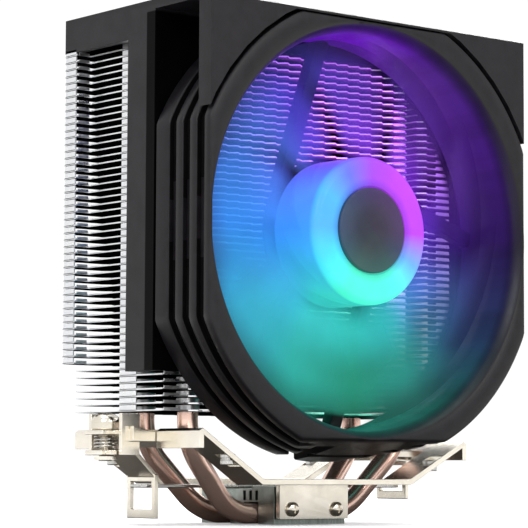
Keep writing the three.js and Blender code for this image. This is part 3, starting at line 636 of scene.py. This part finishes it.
def make_stack_tree():
    """Copies of the input mesh stacked upwards."""
    tree, entry, exit_node = new_tree("stacked fins", [
        ("Count", "Int"), ("Pitch", "Float"), ("Finish", "Material")])
    line = tree.nodes.new("GeometryNodeMeshLine")
    place = tree.nodes.new("GeometryNodeInstanceOnPoints")
    offset = join_axes(tree, "Z", entry.outputs["Pitch"])
    feed_all(tree, line, {"Count": entry.outputs["Count"], "Offset": offset})
    feed_all(tree, place, {"Points": line.outputs[0], "Instance": entry.outputs["Geometry"]})
    end_tree(tree, entry, exit_node, place.outputs[0])
    return tree


def make_ring_tree():
    """Copies of the input mesh turned about the fan's axis."""
    tree, entry, exit_node = new_tree("ring of blades", [
        ("Count", "Int"), ("Axis Height", "Float"), ("Finish", "Material")])
    line = tree.nodes.new("GeometryNodeMeshLine")
    index = tree.nodes.new("GeometryNodeInputIndex")
    place = tree.nodes.new("GeometryNodeInstanceOnPoints")
    step = calc(tree, "DIVIDE", math.tau, entry.outputs["Count"])
    angle = calc(tree, "MULTIPLY", index.outputs[0], step)
    height = join_axes(tree, "Z", entry.outputs["Axis Height"])
    feed_all(tree, line, {"Count": entry.outputs["Count"], "Start Location": height,
                          "Offset": (0, 0, 0)})
    feed_all(tree, place, {"Points": line.outputs[0], "Instance": entry.outputs["Geometry"],
                           "Rotation": join_axes(tree, "Y", angle)})
    end_tree(tree, entry, exit_node, place.outputs[0])
    return tree


def make_copies_tree():
    """A copy of one piece on each point of the input mesh, turned about Z by its attribute."""
    tree, entry, exit_node = new_tree("placed copies", [("Piece", "Object"), ("Finish", "Material")])
    piece = tree.nodes.new("GeometryNodeObjectInfo")
    turn = tree.nodes.new("GeometryNodeInputNamedAttribute")
    turn.data_type = "FLOAT"
    turn.inputs["Name"].default_value = "turn"
    place = tree.nodes.new("GeometryNodeInstanceOnPoints")
    tree.links.new(entry.outputs["Piece"], piece.inputs["Object"])
    feed_all(tree, place, {"Points": entry.outputs["Geometry"],
                           "Instance": piece.outputs["Geometry"],
                           "Rotation": join_axes(tree, "Z", turn.outputs[0])})
    end_tree(tree, entry, exit_node, place.outputs[0])
    return tree


def run_tree(piece, tree, values):
    step = piece.modifiers.new("build", "NODES")
    step.node_group = tree
    for item in tree.interface.items_tree:
        if item.item_type == "SOCKET" and item.in_out == "INPUT" and item.name in values:
            step[item.identifier] = values[item.name]
    bake(piece)
    piece.data.set_sharp_from_angle(angle=math.radians(35))
    return piece


copies_tree = make_copies_tree()


def placed_copies(name, model, places, finish):
    """places holds (x, y, z, turn in degrees)."""
    mesh = bpy.data.meshes.new(name)
    mesh.from_pydata([Vector(place[:3]) * MM for place in places], [], [])
    turns = mesh.attributes.new("turn", "FLOAT", "POINT")
    turns.data.foreach_set("value", [math.radians(place[3]) for place in places])
    piece = bpy.data.objects.new(name, mesh)
    scene.collection.objects.link(piece)
    run_tree(piece, copies_tree, {"Piece": model, "Finish": finish})
    discard(model)
    return piece


def finished(piece, body, slot, *nodes):
    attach(piece, body)
    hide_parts(*nodes)
    return piece


# ---- camera, stage and light ----------------------------------------------------------
def add_camera():
    azimuth, elevation, roll = math.radians(-39.2075), math.radians(-5.0064), math.radians(0.2372)
    back = Vector((math.sin(azimuth) * math.cos(elevation),
                   -math.cos(azimuth) * math.cos(elevation), math.sin(elevation)))
    right = (-back).cross(Vector((0, 0, 1))).normalized()
    up = right.cross(-back)
    rolled_right = right * math.cos(roll) + up * math.sin(roll)
    rolled_up = up * math.cos(roll) - right * math.sin(roll)
    place = Matrix((rolled_right, rolled_up, back)).transposed().to_4x4()
    place.translation = Vector((-454.556, -552.623, 14.566)) * MM
    data = bpy.data.cameras.new("camera")
    data.sensor_width = 36
    data.lens = 163.35
    data.clip_start = 0.01
    camera = bpy.data.objects.new("camera", data)
    camera.matrix_world = place
    scene.collection.objects.link(camera)
    scene.camera = camera


def add_area_light(name, location, target, size, energy, colour=(1, 1, 1)):
    data = bpy.data.lights.new(name, "AREA")
    data.shape = "RECTANGLE"
    data.size, data.size_y = size
    data.energy = energy
    data.color = colour
    light = bpy.data.objects.new(name, data)
    light.location = location
    light.rotation_mode = "QUATERNION"
    light.rotation_quaternion = (Vector(target) - Vector(location)).to_track_quat("-Z", "Y")
    scene.collection.objects.link(light)


def add_floor():
    """A white floor; rays other than the camera's see a painted shadow on it, dark near the cooler."""
    steps, reach, level = 64, 3000, -0.3
    points = [(reach * math.cos(math.tau * i / steps), reach * math.sin(math.tau * i / steps), level)
              for i in range(steps)]
    material, tree, shader = start_finish("studio floor")
    seen = tree.nodes.new("ShaderNodeLightPath").outputs["Is Camera Ray"]
    east, north, _ = split_axes(tree, object_place(tree))
    squares = calc(tree, "MULTIPLY_ADD", east, east, calc(tree, "MULTIPLY", north, north))
    away = spread_range(tree, calc(tree, "SQRT", squares), 0.07, 0.22)
    # painted shadow under the cooler, seen only in reflections and bounced light
    shadowed_bounce = colour_ramp(tree, away, [(0, (0.09, 0.085, 0.08, 1)), (1, (0.95, 0.94, 0.92, 1))])
    pale = mix_colours(tree, seen, shadowed_bounce, [0.95, 0.95, 0.97, 1])
    feed_all(tree, shader, {
        "Base Color": pale, "Roughness": 0.9, "Specular IOR Level": 0.0,
        "Emission Color": (1, 1, 1, 1), "Emission Strength": calc(tree, "MULTIPLY", seen, 0.35)})
    floor = new_piece("floor", points, [tuple(range(steps))], material)


def add_world():
    world = bpy.data.worlds.new("studio")
    scene.world = world
    world.use_nodes = True
    tree = world.node_tree
    tree.nodes.clear()
    output = tree.nodes.new("ShaderNodeOutputWorld")
    studio = tree.nodes.new("ShaderNodeBackground")
    backdrop = tree.nodes.new("ShaderNodeBackground")
    choice = tree.nodes.new("ShaderNodeMixShader")
    seen = tree.nodes.new("ShaderNodeLightPath").outputs["Is Camera Ray"]
    axes = split_axes(tree, tree.nodes.new("ShaderNodeTexCoord").outputs["Generated"])
    height = spread_range(tree, axes["Z"], -0.1, 0.3)
    sky = colour_ramp(tree, height, [(0, (0.85, 0.85, 0.84, 1)), (1, (0.95, 0.95, 0.95, 1))])
    tree.links.new(sky, studio.inputs["Color"])
    feed_all(tree, backdrop, {"Color": (1, 1, 1, 1), "Strength": 1.05})
    for socket, value in zip(choice.inputs, (seen, studio.outputs[0], backdrop.outputs[0])):
        tree.links.new(value, socket)
    tree.links.new(choice.outputs[0], output.inputs["Surface"])


scene.view_settings.view_transform = "Standard"
add_camera()
add_floor()
add_world()
add_area_light("key", (-1.1, -0.7, 0.9), (0, 0, 0.05), (0.7, 0.7), 9)
add_area_light("front", (0.2, -1.5, 0.8), (0, 0, 0.08), (1.0, 0.5), 8)
add_area_light("top", (0.1, 0.1, 1.2), (0, 0, 0), (1.0, 1.0), 8)
add_area_light("rim", (0.9, 0.9, 0.7), (0, 0, 0.08), (0.6, 0.6), 6)


# ---- fan frame ------------------------------------------------------------------------
def outline_radius(angle, inset, y):
    """The ring's outline at depth y; its underside slopes from the circle to the square."""
    across = max(abs(math.cos(angle)), 1e-6)
    up = max(abs(math.sin(angle)), 1e-6)
    half = HALF_WIDTH - inset
    limit = half
    if math.sin(angle) < 0:
        rise = (y - FRONT_Y) / (BACK_Y - FRONT_Y)
        at_end = min(y - FRONT_Y, BACK_Y - y) < 1
        limit = HALF_WIDTH + (RING_RADIUS - HALF_WIDTH) * rise - (inset if at_end else 0)
    return min(RING_RADIUS - inset, half / across, limit / up)


def ring_profile():
    """Points of the ring's section: (outside or not, inset or radius, Y)."""
    profile = [(True, 0.7, FRONT_Y), (True, 0.2, FRONT_Y + 0.2), (True, 0, FRONT_Y + 0.7)]
    for start, end in GROOVES_Y:
        profile += [(True, 0, start - 0.45), (True, 0.12, start - 0.12), (True, 0.45, start)]
        profile += [(True, GROOVE_DEPTH, start + 0.05), (True, GROOVE_DEPTH, end - 0.05)]
        profile += [(True, 0.45, end), (True, 0.12, end + 0.12), (True, 0, end + 0.45)]
    profile += [(True, 0, BACK_Y - 0.5), (True, 0.5, BACK_Y)]
    profile += [(False, DUCT_RADIUS + 0.5, BACK_Y), (False, DUCT_RADIUS, BACK_Y - 0.5)]
    flare = MOUTH_RADIUS - DUCT_RADIUS
    for i in range(7):
        t = i / 6
        profile.append((False, DUCT_RADIUS + flare * t * t, MOUTH_BACK_Y - MOUTH_FLARE_DEPTH * t))
    profile.append((False, MOUTH_RADIUS + 0.5, FRONT_Y))
    return profile


def make_fan_frame():
    profile = ring_profile()
    points = []
    for outside, size, y in profile:
        for i in range(RING_STEPS):
            angle = math.tau * (i + 0.5) / RING_STEPS
            radius = outline_radius(angle, size, y) if outside else size
            points.append((radius * math.cos(angle), y, FAN_Z + radius * math.sin(angle)))
    faces = grid_faces(len(profile), RING_STEPS, closed_rows=True)
    ring = new_piece("ring", points, faces, black_plastic)
    notch_low, notch_high = zip(CABLE_NOTCH_X, (MOUTH_BACK_Y, BACK_Y + 1), CABLE_NOTCH_Z)
    notch = block("notch", notch_low, notch_high, black_plastic)
    carve(ring, notch)
    tidy_surface(ring)
    ring.data.materials.append(duct_finish)
    ring.data.materials.append(groove_shade_plastic)
    for face in ring.data.polygons:
        middle = face.center / MM
        radius = math.hypot(middle.x, middle.z - FAN_Z)
        opening = max(0.0, (MOUTH_BACK_Y - middle.y) / MOUTH_FLARE_DEPTH)
        wall = DUCT_RADIUS + (MOUTH_RADIUS - DUCT_RADIUS) * opening ** 2
        if radius < wall + 0.15 and FRONT_Y + 0.3 < middle.y < BACK_Y - 0.3:
            face.material_index = 1
        # faces deep in the grooves take the painted groove shade
        elif radius > MOUTH_RADIUS and any(a - 0.1 < middle.y < b + 0.1 for a, b in GROOVES_Y):
            edge = outline_radius(math.atan2(middle.z - FAN_Z, middle.x), 0, middle.y)
            if radius < edge - 0.7:
                face.material_index = 2
    pieces = [ring, make_cup()] + [make_strut(quarter) for quarter in range(4)]
    for piece in pieces[1:]:
        piece.data.materials.append(duct_finish)
        piece.data.materials.append(groove_shade_plastic)
    return merged("fan_frame_shell", pieces)


def make_cup():
    """The motor's cup, with the tube that holds the bearing."""
    profile = [(0, 0), (CUP_RADIUS - 0.6, 0), (CUP_RADIUS, 0.5), (CUP_RADIUS, 1.6),
               (CUP_RADIUS - 0.4, 2), (5, 2), (5, 10), (CUP_BORE, 10), (CUP_BORE, 1.2), (0, 1.2)]
    places = [(radius, BACK_Y - depth) for radius, depth in profile]
    return turned("cup", places, (0, 0, FAN_Z), "Y", black_plastic, 96)


def make_strut(quarter):
    """A slanted rib from the motor cup to the duct wall."""
    turn = Matrix.Rotation(math.radians(90 * quarter), 2)
    start, end = Vector(STRUT_START), Vector(STRUT_END)
    side = Vector((end.y - start.y, start.x - end.x)).normalized() * STRUT_HALF_WIDTH
    section = []
    for corner in (start - side, start + side, end + side, end - side):
        flat = turn @ corner
        section.append((flat.x, FAN_Z + flat.y))
    points = [(x, y, z) for y in (BACK_Y - 4.4, BACK_Y - 0.1) for x, z in section]
    faces = [(0, 1, 2, 3), (4, 5, 6, 7)] + [(i, (i + 1) % 4, (i + 1) % 4 + 4, i + 4) for i in range(4)]
    strut = new_piece("strut", points, faces, black_plastic)
    return round_edges(strut, 0.6, 3)


finished(make_fan_frame(), "cooler", "black_plastic", "fan_frame")
shroud = softened("shroud_cover", "top_cover", shroud_plastic, 0.35, 3)
finished(shroud, "cooler", "black_plastic", "top_cover")


# ---- fins -----------------------------------------------------------------------------
def fin_outline(winged):
    """The sheet seen from above, counter-clockwise from its front left corner."""
    teeth = round(2 * TOOTH_HALF_SPAN / TOOTH_PITCH)
    front = [(-FIN_HALF_WIDTH, FIN_FRONT_Y), (-TOOTH_HALF_SPAN, FIN_FRONT_Y)]
    for i in range(teeth):
        left = -TOOTH_HALF_SPAN + i * TOOTH_PITCH
        right = left + TOOTH_PITCH
        if left < -PIPE_X < right or left < PIPE_X < right:
            front += [(left + 0.4, FIN_FRONT_Y), (left + 0.4, NOTCH_BACK_Y)]
            front += [(right - 0.4, NOTCH_BACK_Y), (right - 0.4, FIN_FRONT_Y)]
        else:
            front.append((left + TOOTH_PITCH / 2, FIN_FRONT_Y - TOOTH_DEPTH))
        front.append((right, FIN_FRONT_Y))
    front.append((FIN_HALF_WIDTH, FIN_FRONT_Y))
    rear_y = FINS_HIGH.y
    right = [(FIN_HALF_WIDTH, rear_y)]
    left = [(-FIN_HALF_WIDTH, rear_y)]
    if winged:
        right = [(FIN_HALF_WIDTH, WING_FRONT_Y), (HALF_WIDTH, WING_FRONT_Y), (HALF_WIDTH, rear_y)]
        left = [(-HALF_WIDTH, rear_y), (-HALF_WIDTH, WING_FRONT_Y), (-FIN_HALF_WIDTH, WING_FRONT_Y)]
    rear = []
    for i in range(teeth):
        start = TOOTH_HALF_SPAN - i * TOOTH_PITCH
        rear.append((start, rear_y))
        rear.append((start - TOOTH_PITCH / 2, rear_y - TOOTH_DEPTH))
    rear.append((-TOOTH_HALF_SPAN, rear_y))
    return front + right + rear + left


def pipe_places():
    return [(x, y) for x in (-PIPE_X, PIPE_X) for y in PIPE_ROWS]


def add_collar(points, faces, x, y, base, top, steps=16):
    """The short sleeve pressed on a heat pipe."""
    inner, outer = COLLAR_RADII
    section = [(outer, 0), (outer, top - 0.12), (outer - 0.1, top), (inner, top), (inner, 0)]
    first = len(points)
    for radius, height in section:
        for i in range(steps):
            angle = math.tau * i / steps
            points.append((x + radius * math.cos(angle), y + radius * math.sin(angle), base + height))
    for face in grid_faces(len(section), steps, closed_rows=True):
        faces.append(tuple(first + corner for corner in face))


def add_tab(points, faces, low, high):
    """A thin folded tab, given by its two corners."""
    first = len(points)
    points += block_corners(low, high)
    for face in BLOCK_FACES:
        faces.append(tuple(first + corner for corner in face))


def make_fins(name, winged, first, count):
    bore = COLLAR_RADII[0]
    loops = [fin_outline(winged)]
    for x, y in pipe_places():
        angles = [-math.tau * i / 16 for i in range(16)]
        loops.append([(x + bore * math.cos(a), y + bore * math.sin(a)) for a in angles])
    flat, edges = [], []
    for loop in loops:
        start = len(flat)
        flat += [Vector(point) for point in loop]
        edges += [(start + i, start + (i + 1) % len(loop)) for i in range(len(loop))]
    corners, _, triangles, *_ = delaunay_2d_cdt(flat, edges, [], 1, 1e-6)
    kept = []
    for triangle in triangles:
        middle = sum((corners[c] for c in triangle), Vector((0, 0))) / len(triangle)
        if all(math.dist(middle, place) > bore - 0.07 for place in pipe_places()):
            kept.append(tuple(triangle))
    base = FINS_LOW.z + first * FIN_PITCH
    points = [(c.x, c.y, base + up) for up in (0, FIN_THICKNESS) for c in corners]
    faces = [tuple(reversed(t)) for t in kept] + [tuple(c + len(corners) for c in t) for t in kept]
    for a, b in edges:
        faces.append((a, b, b + len(corners), a + len(corners)))
    for x, y in pipe_places():
        add_collar(points, faces, x, y, base + FIN_THICKNESS * 0.5, 0.9 if winged else 1.78)
    low, high = base + 0.2, base + TAB_HEIGHT
    lip_top = low + LIP_HEIGHT
    tabs = [((FIN_HALF_WIDTH - 0.3, FIN_HALF_WIDTH), (-6, 2), high),
            (LIP_X, (FIN_FRONT_Y - 0.25, FIN_FRONT_Y), lip_top)]
    if winged:
        tabs += [((HALF_WIDTH - 0.35, HALF_WIDTH), (WING_FRONT_Y + 0.5, FINS_HIGH.y - 0.5), high),
                 ((FIN_HALF_WIDTH + 0.6, HALF_WIDTH - 0.8), (WING_FRONT_Y, WING_FRONT_Y + 0.35), lip_top)]
    for side in (-1, 1):
        for reach, depth, top in tabs:
            left, right = sorted(side * x for x in reach)
            add_tab(points, faces, (left, depth[0], low), (right, depth[1], top))
    fin = new_piece(name, points, faces, fin_metal)
    return run_tree(fin, stack_tree, {"Count": count, "Pitch": FIN_PITCH * MM, "Finish": fin_metal})


stack_tree = make_stack_tree()
low_fins = make_fins("lower_fins", False, 0, LOW_FIN_COUNT)
high_fins = make_fins("winged_fins", True, LOW_FIN_COUNT, FIN_COUNT - LOW_FIN_COUNT)
finished(low_fins, "cooler", "fin_metal", "fin_stack")
finished(high_fins, "cooler", "fin_metal", "fin_stack")


# ---- heat pipes -----------------------------------------------------------------------
def pipe_path(y):
    """The U's centre line: straight runs joined by bends."""
    top = PIPE_HIGH.z
    base_y = math.copysign(PIPE_BASE_Y, y)
    left = [(-PIPE_X, y, top), (-PIPE_X, y, PIPE_KNEE_Z), (-PIPE_BASE_X, base_y, PIPE_LOW_Z)]
    right = [(-x, row, z) for x, row, z in reversed(left)]
    corners = [Vector(corner) for corner in left + right]
    below_tip = (0, 1, 2.5, 5)
    path = [corners[0] - Vector((0, 0, drop)) for drop in below_tip]
    for before, corner, after in zip(corners, corners[1:], corners[2:]):
        back = (before - corner).normalized()
        onward = (after - corner).normalized()
        turn = math.pi - back.angle(onward)
        reach = PIPE_BEND * math.tan(turn / 2)
        for i in range(13):
            t = i / 12
            path.append((corner + back * reach) * (1 - t) ** 2 + corner * 2 * t * (1 - t)
                        + (corner + onward * reach) * t * t)
    return path + [corners[-1] - Vector((0, 0, drop)) for drop in reversed(below_tip)]


def make_pipe(name, y):
    path = pipe_path(y)
    radii = [(PIPE_RADIUS, PIPE_RADIUS)] * len(path)
    for i, size in enumerate((0.9, 1.8, 2.7)):
        radii[i] = (size, size)
        radii[-1 - i] = (size, size)
    return swept_tube(name, path, radii, copper, 40)


finished(make_pipe("front_heat_pipe", PIPE_ROWS[0]), "cooler", "copper", "heat_pipe_front")
finished(make_pipe("rear_heat_pipe", PIPE_ROWS[1]), "cooler", "copper", "heat_pipe_rear")


# ---- fan rotor ------------------------------------------------------------------------
def blade_point(u, v, lift):
    """A point u of the way from root to tip and v of the way across the blade."""
    radius = BLADE_ROOT_RADIUS + u * (BLADE_TIP_RADIUS - BLADE_ROOT_RADIUS)
    angle = 0.35 * u * u + (v - 0.5) * BLADE_SPREAD
    half_depth = 5.2 - 0.8 * u
    y = BLADE_MID_Y - (v - 0.5) * 2 * half_depth + 0.8 * math.sin(math.pi * v) + lift
    return radius * math.cos(angle), y, radius * math.sin(angle)


def make_blades():
    across, along = 20, 22
    points, faces, fades = [], [], []
    for side in (-0.5, 0.5):
        for i in range(along + 1):
            u = i / along
            for j in range(across + 1):
                v = j / across
                thickness = 1.0 * math.sin(math.pi * min(max(v, 0.06), 0.94)) ** 0.5
                points.append(blade_point(u, v, side * thickness))
                overlap = 1 - math.tau / BLADES / BLADE_SPREAD
                fade = min(v, 1 - v) / overlap
                fades.append(min(1.0, max(0.0, fade)))
    row = across + 1
    layer = (along + 1) * row
    for i in range(along):
        for j in range(across):
            a = i * row + j
            faces.append((a, a + 1, a + row + 1, a + row))
            faces.append((layer + a, layer + a + row, layer + a + row + 1, layer + a + 1))
        for a in (i * row, i * row + across):
            faces.append((a, a + row, layer + a + row, layer + a))
    for j in range(across):
        for a in (j, along * row + j):
            faces.append((a, a + 1, layer + a + 1, layer + a))
    mesh = bpy.data.meshes.new("fan_blades")
    mesh.from_pydata([Vector(point) * MM for point in points], [], faces)
    fade = mesh.attributes.new("edge_fade", "FLOAT", "POINT")
    fade.data.foreach_set("value", fades)
    mesh.materials.append(blade_finish)
    blade = bpy.data.objects.new("fan_blades", mesh)
    scene.collection.objects.link(blade)
    work = bmesh.new()
    work.from_mesh(mesh)
    bmesh.ops.recalc_face_normals(work, faces=work.faces)
    work.to_mesh(mesh)
    work.free()
    mesh.shade_smooth()
    return run_tree(blade, make_ring_tree(),
                    {"Count": BLADES, "Axis Height": FAN_Z * MM, "Finish": blade_finish})


def make_hub():
    """The hub's cup, with a shallow seat for the disc and room for the motor behind."""
    front, back = HUB_FRONT_Y, HUB_BACK_Y
    profile = [(19.2, back), (HUB_RADIUS - 0.3, back), (HUB_RADIUS, back - 0.3),
               (HUB_RADIUS, front + HUB_ROUNDING)]
    for i in range(13):
        angle = math.pi / 2 * i / 12
        profile.append((HUB_RADIUS - HUB_ROUNDING * (1 - math.cos(angle)),
                        front + HUB_ROUNDING * (1 - math.sin(angle))))
    profile += [(13.6, front + 0.02), (12.9, front + 0.3), (12.6, front + 0.9), (12.6, front + 1.5),
                (3, front + 1.5), (3, front + 2.4), (18.6, front + 2.4), (19.2, front + 3)]
    return turned("fan_hub", profile, (0, 0, FAN_Z), "Y", hub_finish, 128, closed=True)


def make_hub_disc():
    low, high, radius = CAP_LOW.y, CAP_HIGH.y, HUB_DISC_RADIUS
    profile = [(0, low + 0.3), (4, low + 0.28), (8, low + 0.2), (radius - 1, low + 0.1),
               (radius - 0.3, low + 0.2), (radius, low + 0.5), (radius, high), (0, high)]
    return turned("hub_disc", profile, (0, 0, FAN_Z), "Y", disc_finish, 96)


finished(make_blades(), "rotor", "lit_plastic", "impeller")
finished(make_hub(), "rotor", "lit_plastic", "impeller")
finished(make_hub_disc(), "rotor", "dark_grey", "hub_cap")


# ---- base, bracket and hooks ----------------------------------------------------------
for name, node, finish, shape, body, slot in (
        ("base_plate", "base_block", milled, (0.25, 2), "cooler", "base_metal"),
        ("bracket", "mounting_frame", nickel, (0.45, 3, 20), "cooler", "nickel"),
        ("cross_bar", "guide_bar", satin_steel, (0.3, 3), "cooler", "steel"),
        ("fixed_hook", "hook_right", nickel, (0.3, 3), "cooler", "nickel"),
        ("screw_yoke", "tension_yoke", nickel, (0.3, 3), "cooler", "nickel"),
        ("lifting_hook", "hook_left", nickel, (0.3, 3, 20), "tension_hook", "nickel")):
    finished(softened(name, node, finish, *shape), body, slot, node)


def threaded_rod(name, centre, radius, depth, pitch, low, high, finish, steps=24):
    """A rod along Z whose surface follows a screw thread."""
    rows = int((high - low) / pitch * 8)
    points = []
    for row in range(rows + 1):
        z = low + (high - low) * row / rows
        for i in range(steps):
            phase = (z / pitch - i / steps) % 1
            groove = depth * abs(phase * 2 - 1)
            angle = math.tau * i / steps
            points.append((centre[0] + (radius - groove) * math.cos(angle),
                           centre[1] + (radius - groove) * math.sin(angle), z))
    faces = grid_faces(rows + 1, steps)
    faces += [tuple(range(steps)), tuple(range(rows * steps, (rows + 1) * steps))]
    return new_piece(name, points, faces, finish, 50)


def make_tension_screw():
    x, y = (SCREW_LOW.x + SCREW_HIGH.x) / 2, 0
    radius = (SCREW_HIGH.x - SCREW_LOW.x) / 2
    top = SCREW_HIGH.z
    seat = top - 5
    profile = [(0, 0), (radius - 0.3, 0), (radius, 0.3), (radius, 2.0)]
    for i in range(1, 11):
        angle = math.pi / 2 * i / 10
        profile.append((radius * math.cos(angle), 2.0 + 3.0 * math.sin(angle)))
    head = turned("head", profile, (x, y, seat), "Z", bright_screw, 64)
    carve(head, block("slot", (x - 5, y - 0.5, top - 1.4), (x + 5, y + 0.5, top + 1), bright_screw))
    round_edges(head, 0.12, 2)
    shank = threaded_rod("shank", (x, y), SCREW_RADIUS, 0.3, SCREW_PITCH, SCREW_LOW.z, seat + 0.2,
                         bright_screw)
    return merged("tension_screw_body", [head, shank])


def make_spring():
    low, high = box_mm("tension_spring")
    x = (low.x + high.x) / 2
    count = 112
    path, wire = [], SPRING_WIRE_RADIUS
    for i in range(count + 1):
        t = i / count
        angle = math.tau * SPRING_TURNS * t
        path.append((x + SPRING_RADIUS * math.cos(angle), SPRING_RADIUS * math.sin(angle),
                     low.z + wire + (high.z - low.z - 2 * wire) * t))
    return swept_tube("coil_spring", path, [(wire, wire)] * len(path), satin_steel, 12)


def make_frame_screws():
    """Four pan-head screws with a cross recess, facing outwards from both flanges."""
    low, high = box_mm("frame_screw_1")
    radius = (high.x - low.x) / 2
    profile = [(0, 1.6), (1.45, 1.6), (1.45, 0.02), (radius - 0.2, 0.02), (radius, -0.2),
               (radius, -0.55)]
    for i in range(1, 9):
        angle = math.pi / 2 * i / 8
        profile.append((radius * math.cos(angle), -0.55 - 0.95 * math.sin(angle)))
    head = turned("screw", profile, (0, 0, 0), "Y", bright_screw, 40)
    bars = [block("bar", (-x, -2, -z), (x, -0.85, z), bright_screw)
            for x, z in ((RECESS_HALF, 1.15), (1.15, RECESS_HALF))]
    carve(head, *bars)
    tidy_surface(head)
    places = []
    for i in (1, 2, 3, 4):
        low, high = box_mm(f"frame_screw_{i}")
        middle = (low + high) / 2
        front = middle.y < 0
        seat = low.y + 1.5 if front else high.y - 1.5
        places.append((middle.x, seat, middle.z, 0 if front else 180))
    return placed_copies("bracket_screws", head, places, bright_screw)


def make_bushings():
    low, high = box_mm("frame_bushing_1")
    half = (high.z - low.z) / 2
    profile = [(1.6, -half + 0.2), (1.75, -half), (2.0, -half), (2.2, -half + 0.25), (2.2, -0.3),
               (2.0, -0.1), (2.0, 0.3), (2.2, 0.5), (2.2, half - 0.25), (2.0, half), (1.75, half),
               (1.6, half - 0.2)]
    model = turned("bushing", profile, (0, 0, 0), "Z", satin_steel, 40, closed=True)
    places = []
    for i in (1, 2, 3, 4):
        low, high = box_mm(f"frame_bushing_{i}")
        places.append((*((low + high) / 2), 0))
    return placed_copies("bracket_bushings", model, places, satin_steel)


def make_fan_screws():
    low, high = box_mm("fan_screw_1")
    length = high.y - low.y
    profile = [(0, 0), (0.5, 0)]
    turns = 10
    for i in range(turns):
        start = 0.4 + (length - 1.6) * i / turns
        profile += [(1.1, start), (1.5, start + 0.35)]
    profile += [(1.15, length - 1.1), (1.15, length - 0.9), (1.5, length - 0.8), (1.5, length - 0.2),
                (1.3, length), (0, length)]
    model = turned("fan screw", profile, (0, 0, 0), "Y", satin_steel, 24)
    places = []
    for i in (1, 2, 3, 4):
        low, high = box_mm(f"fan_screw_{i}")
        places.append(((low.x + high.x) / 2, low.y, (low.z + high.z) / 2, 0))
    return placed_copies("fan_mount_screws", model, places, satin_steel)


def numbered(stem):
    return [f"{stem}_{i}" for i in (1, 2, 3, 4)]


finished(make_tension_screw(), "tension_screw", "screw_metal", "tension_screw")
finished(make_spring(), "cooler", "steel", "tension_spring")
finished(make_frame_screws(), "cooler", "screw_metal", *numbered("frame_screw"))
finished(make_bushings(), "cooler", "steel", *numbered("frame_bushing"))
finished(make_fan_screws(), "cooler", "steel", *numbered("fan_screw"))

# ---- pieces that keep their CAD shape -------------------------------------------------
KEPT = {
    "fan_pcb": solder_mask, "stator_core": lamination, "bearing_sleeve": turned_brass,
    "rotor_yoke": satin_steel, "magnet_ring": ferrite, "rotor_shaft": satin_steel, "hook_nut": nickel,
}
KEPT.update({name: winding for name in numbered("stator_coil")})
KEPT.update({name: rubber for name in numbered("fan_pad")})
for name, finish in KEPT.items():
    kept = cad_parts[name]
    kept.data.materials.clear()
    kept.data.materials.append(finish)
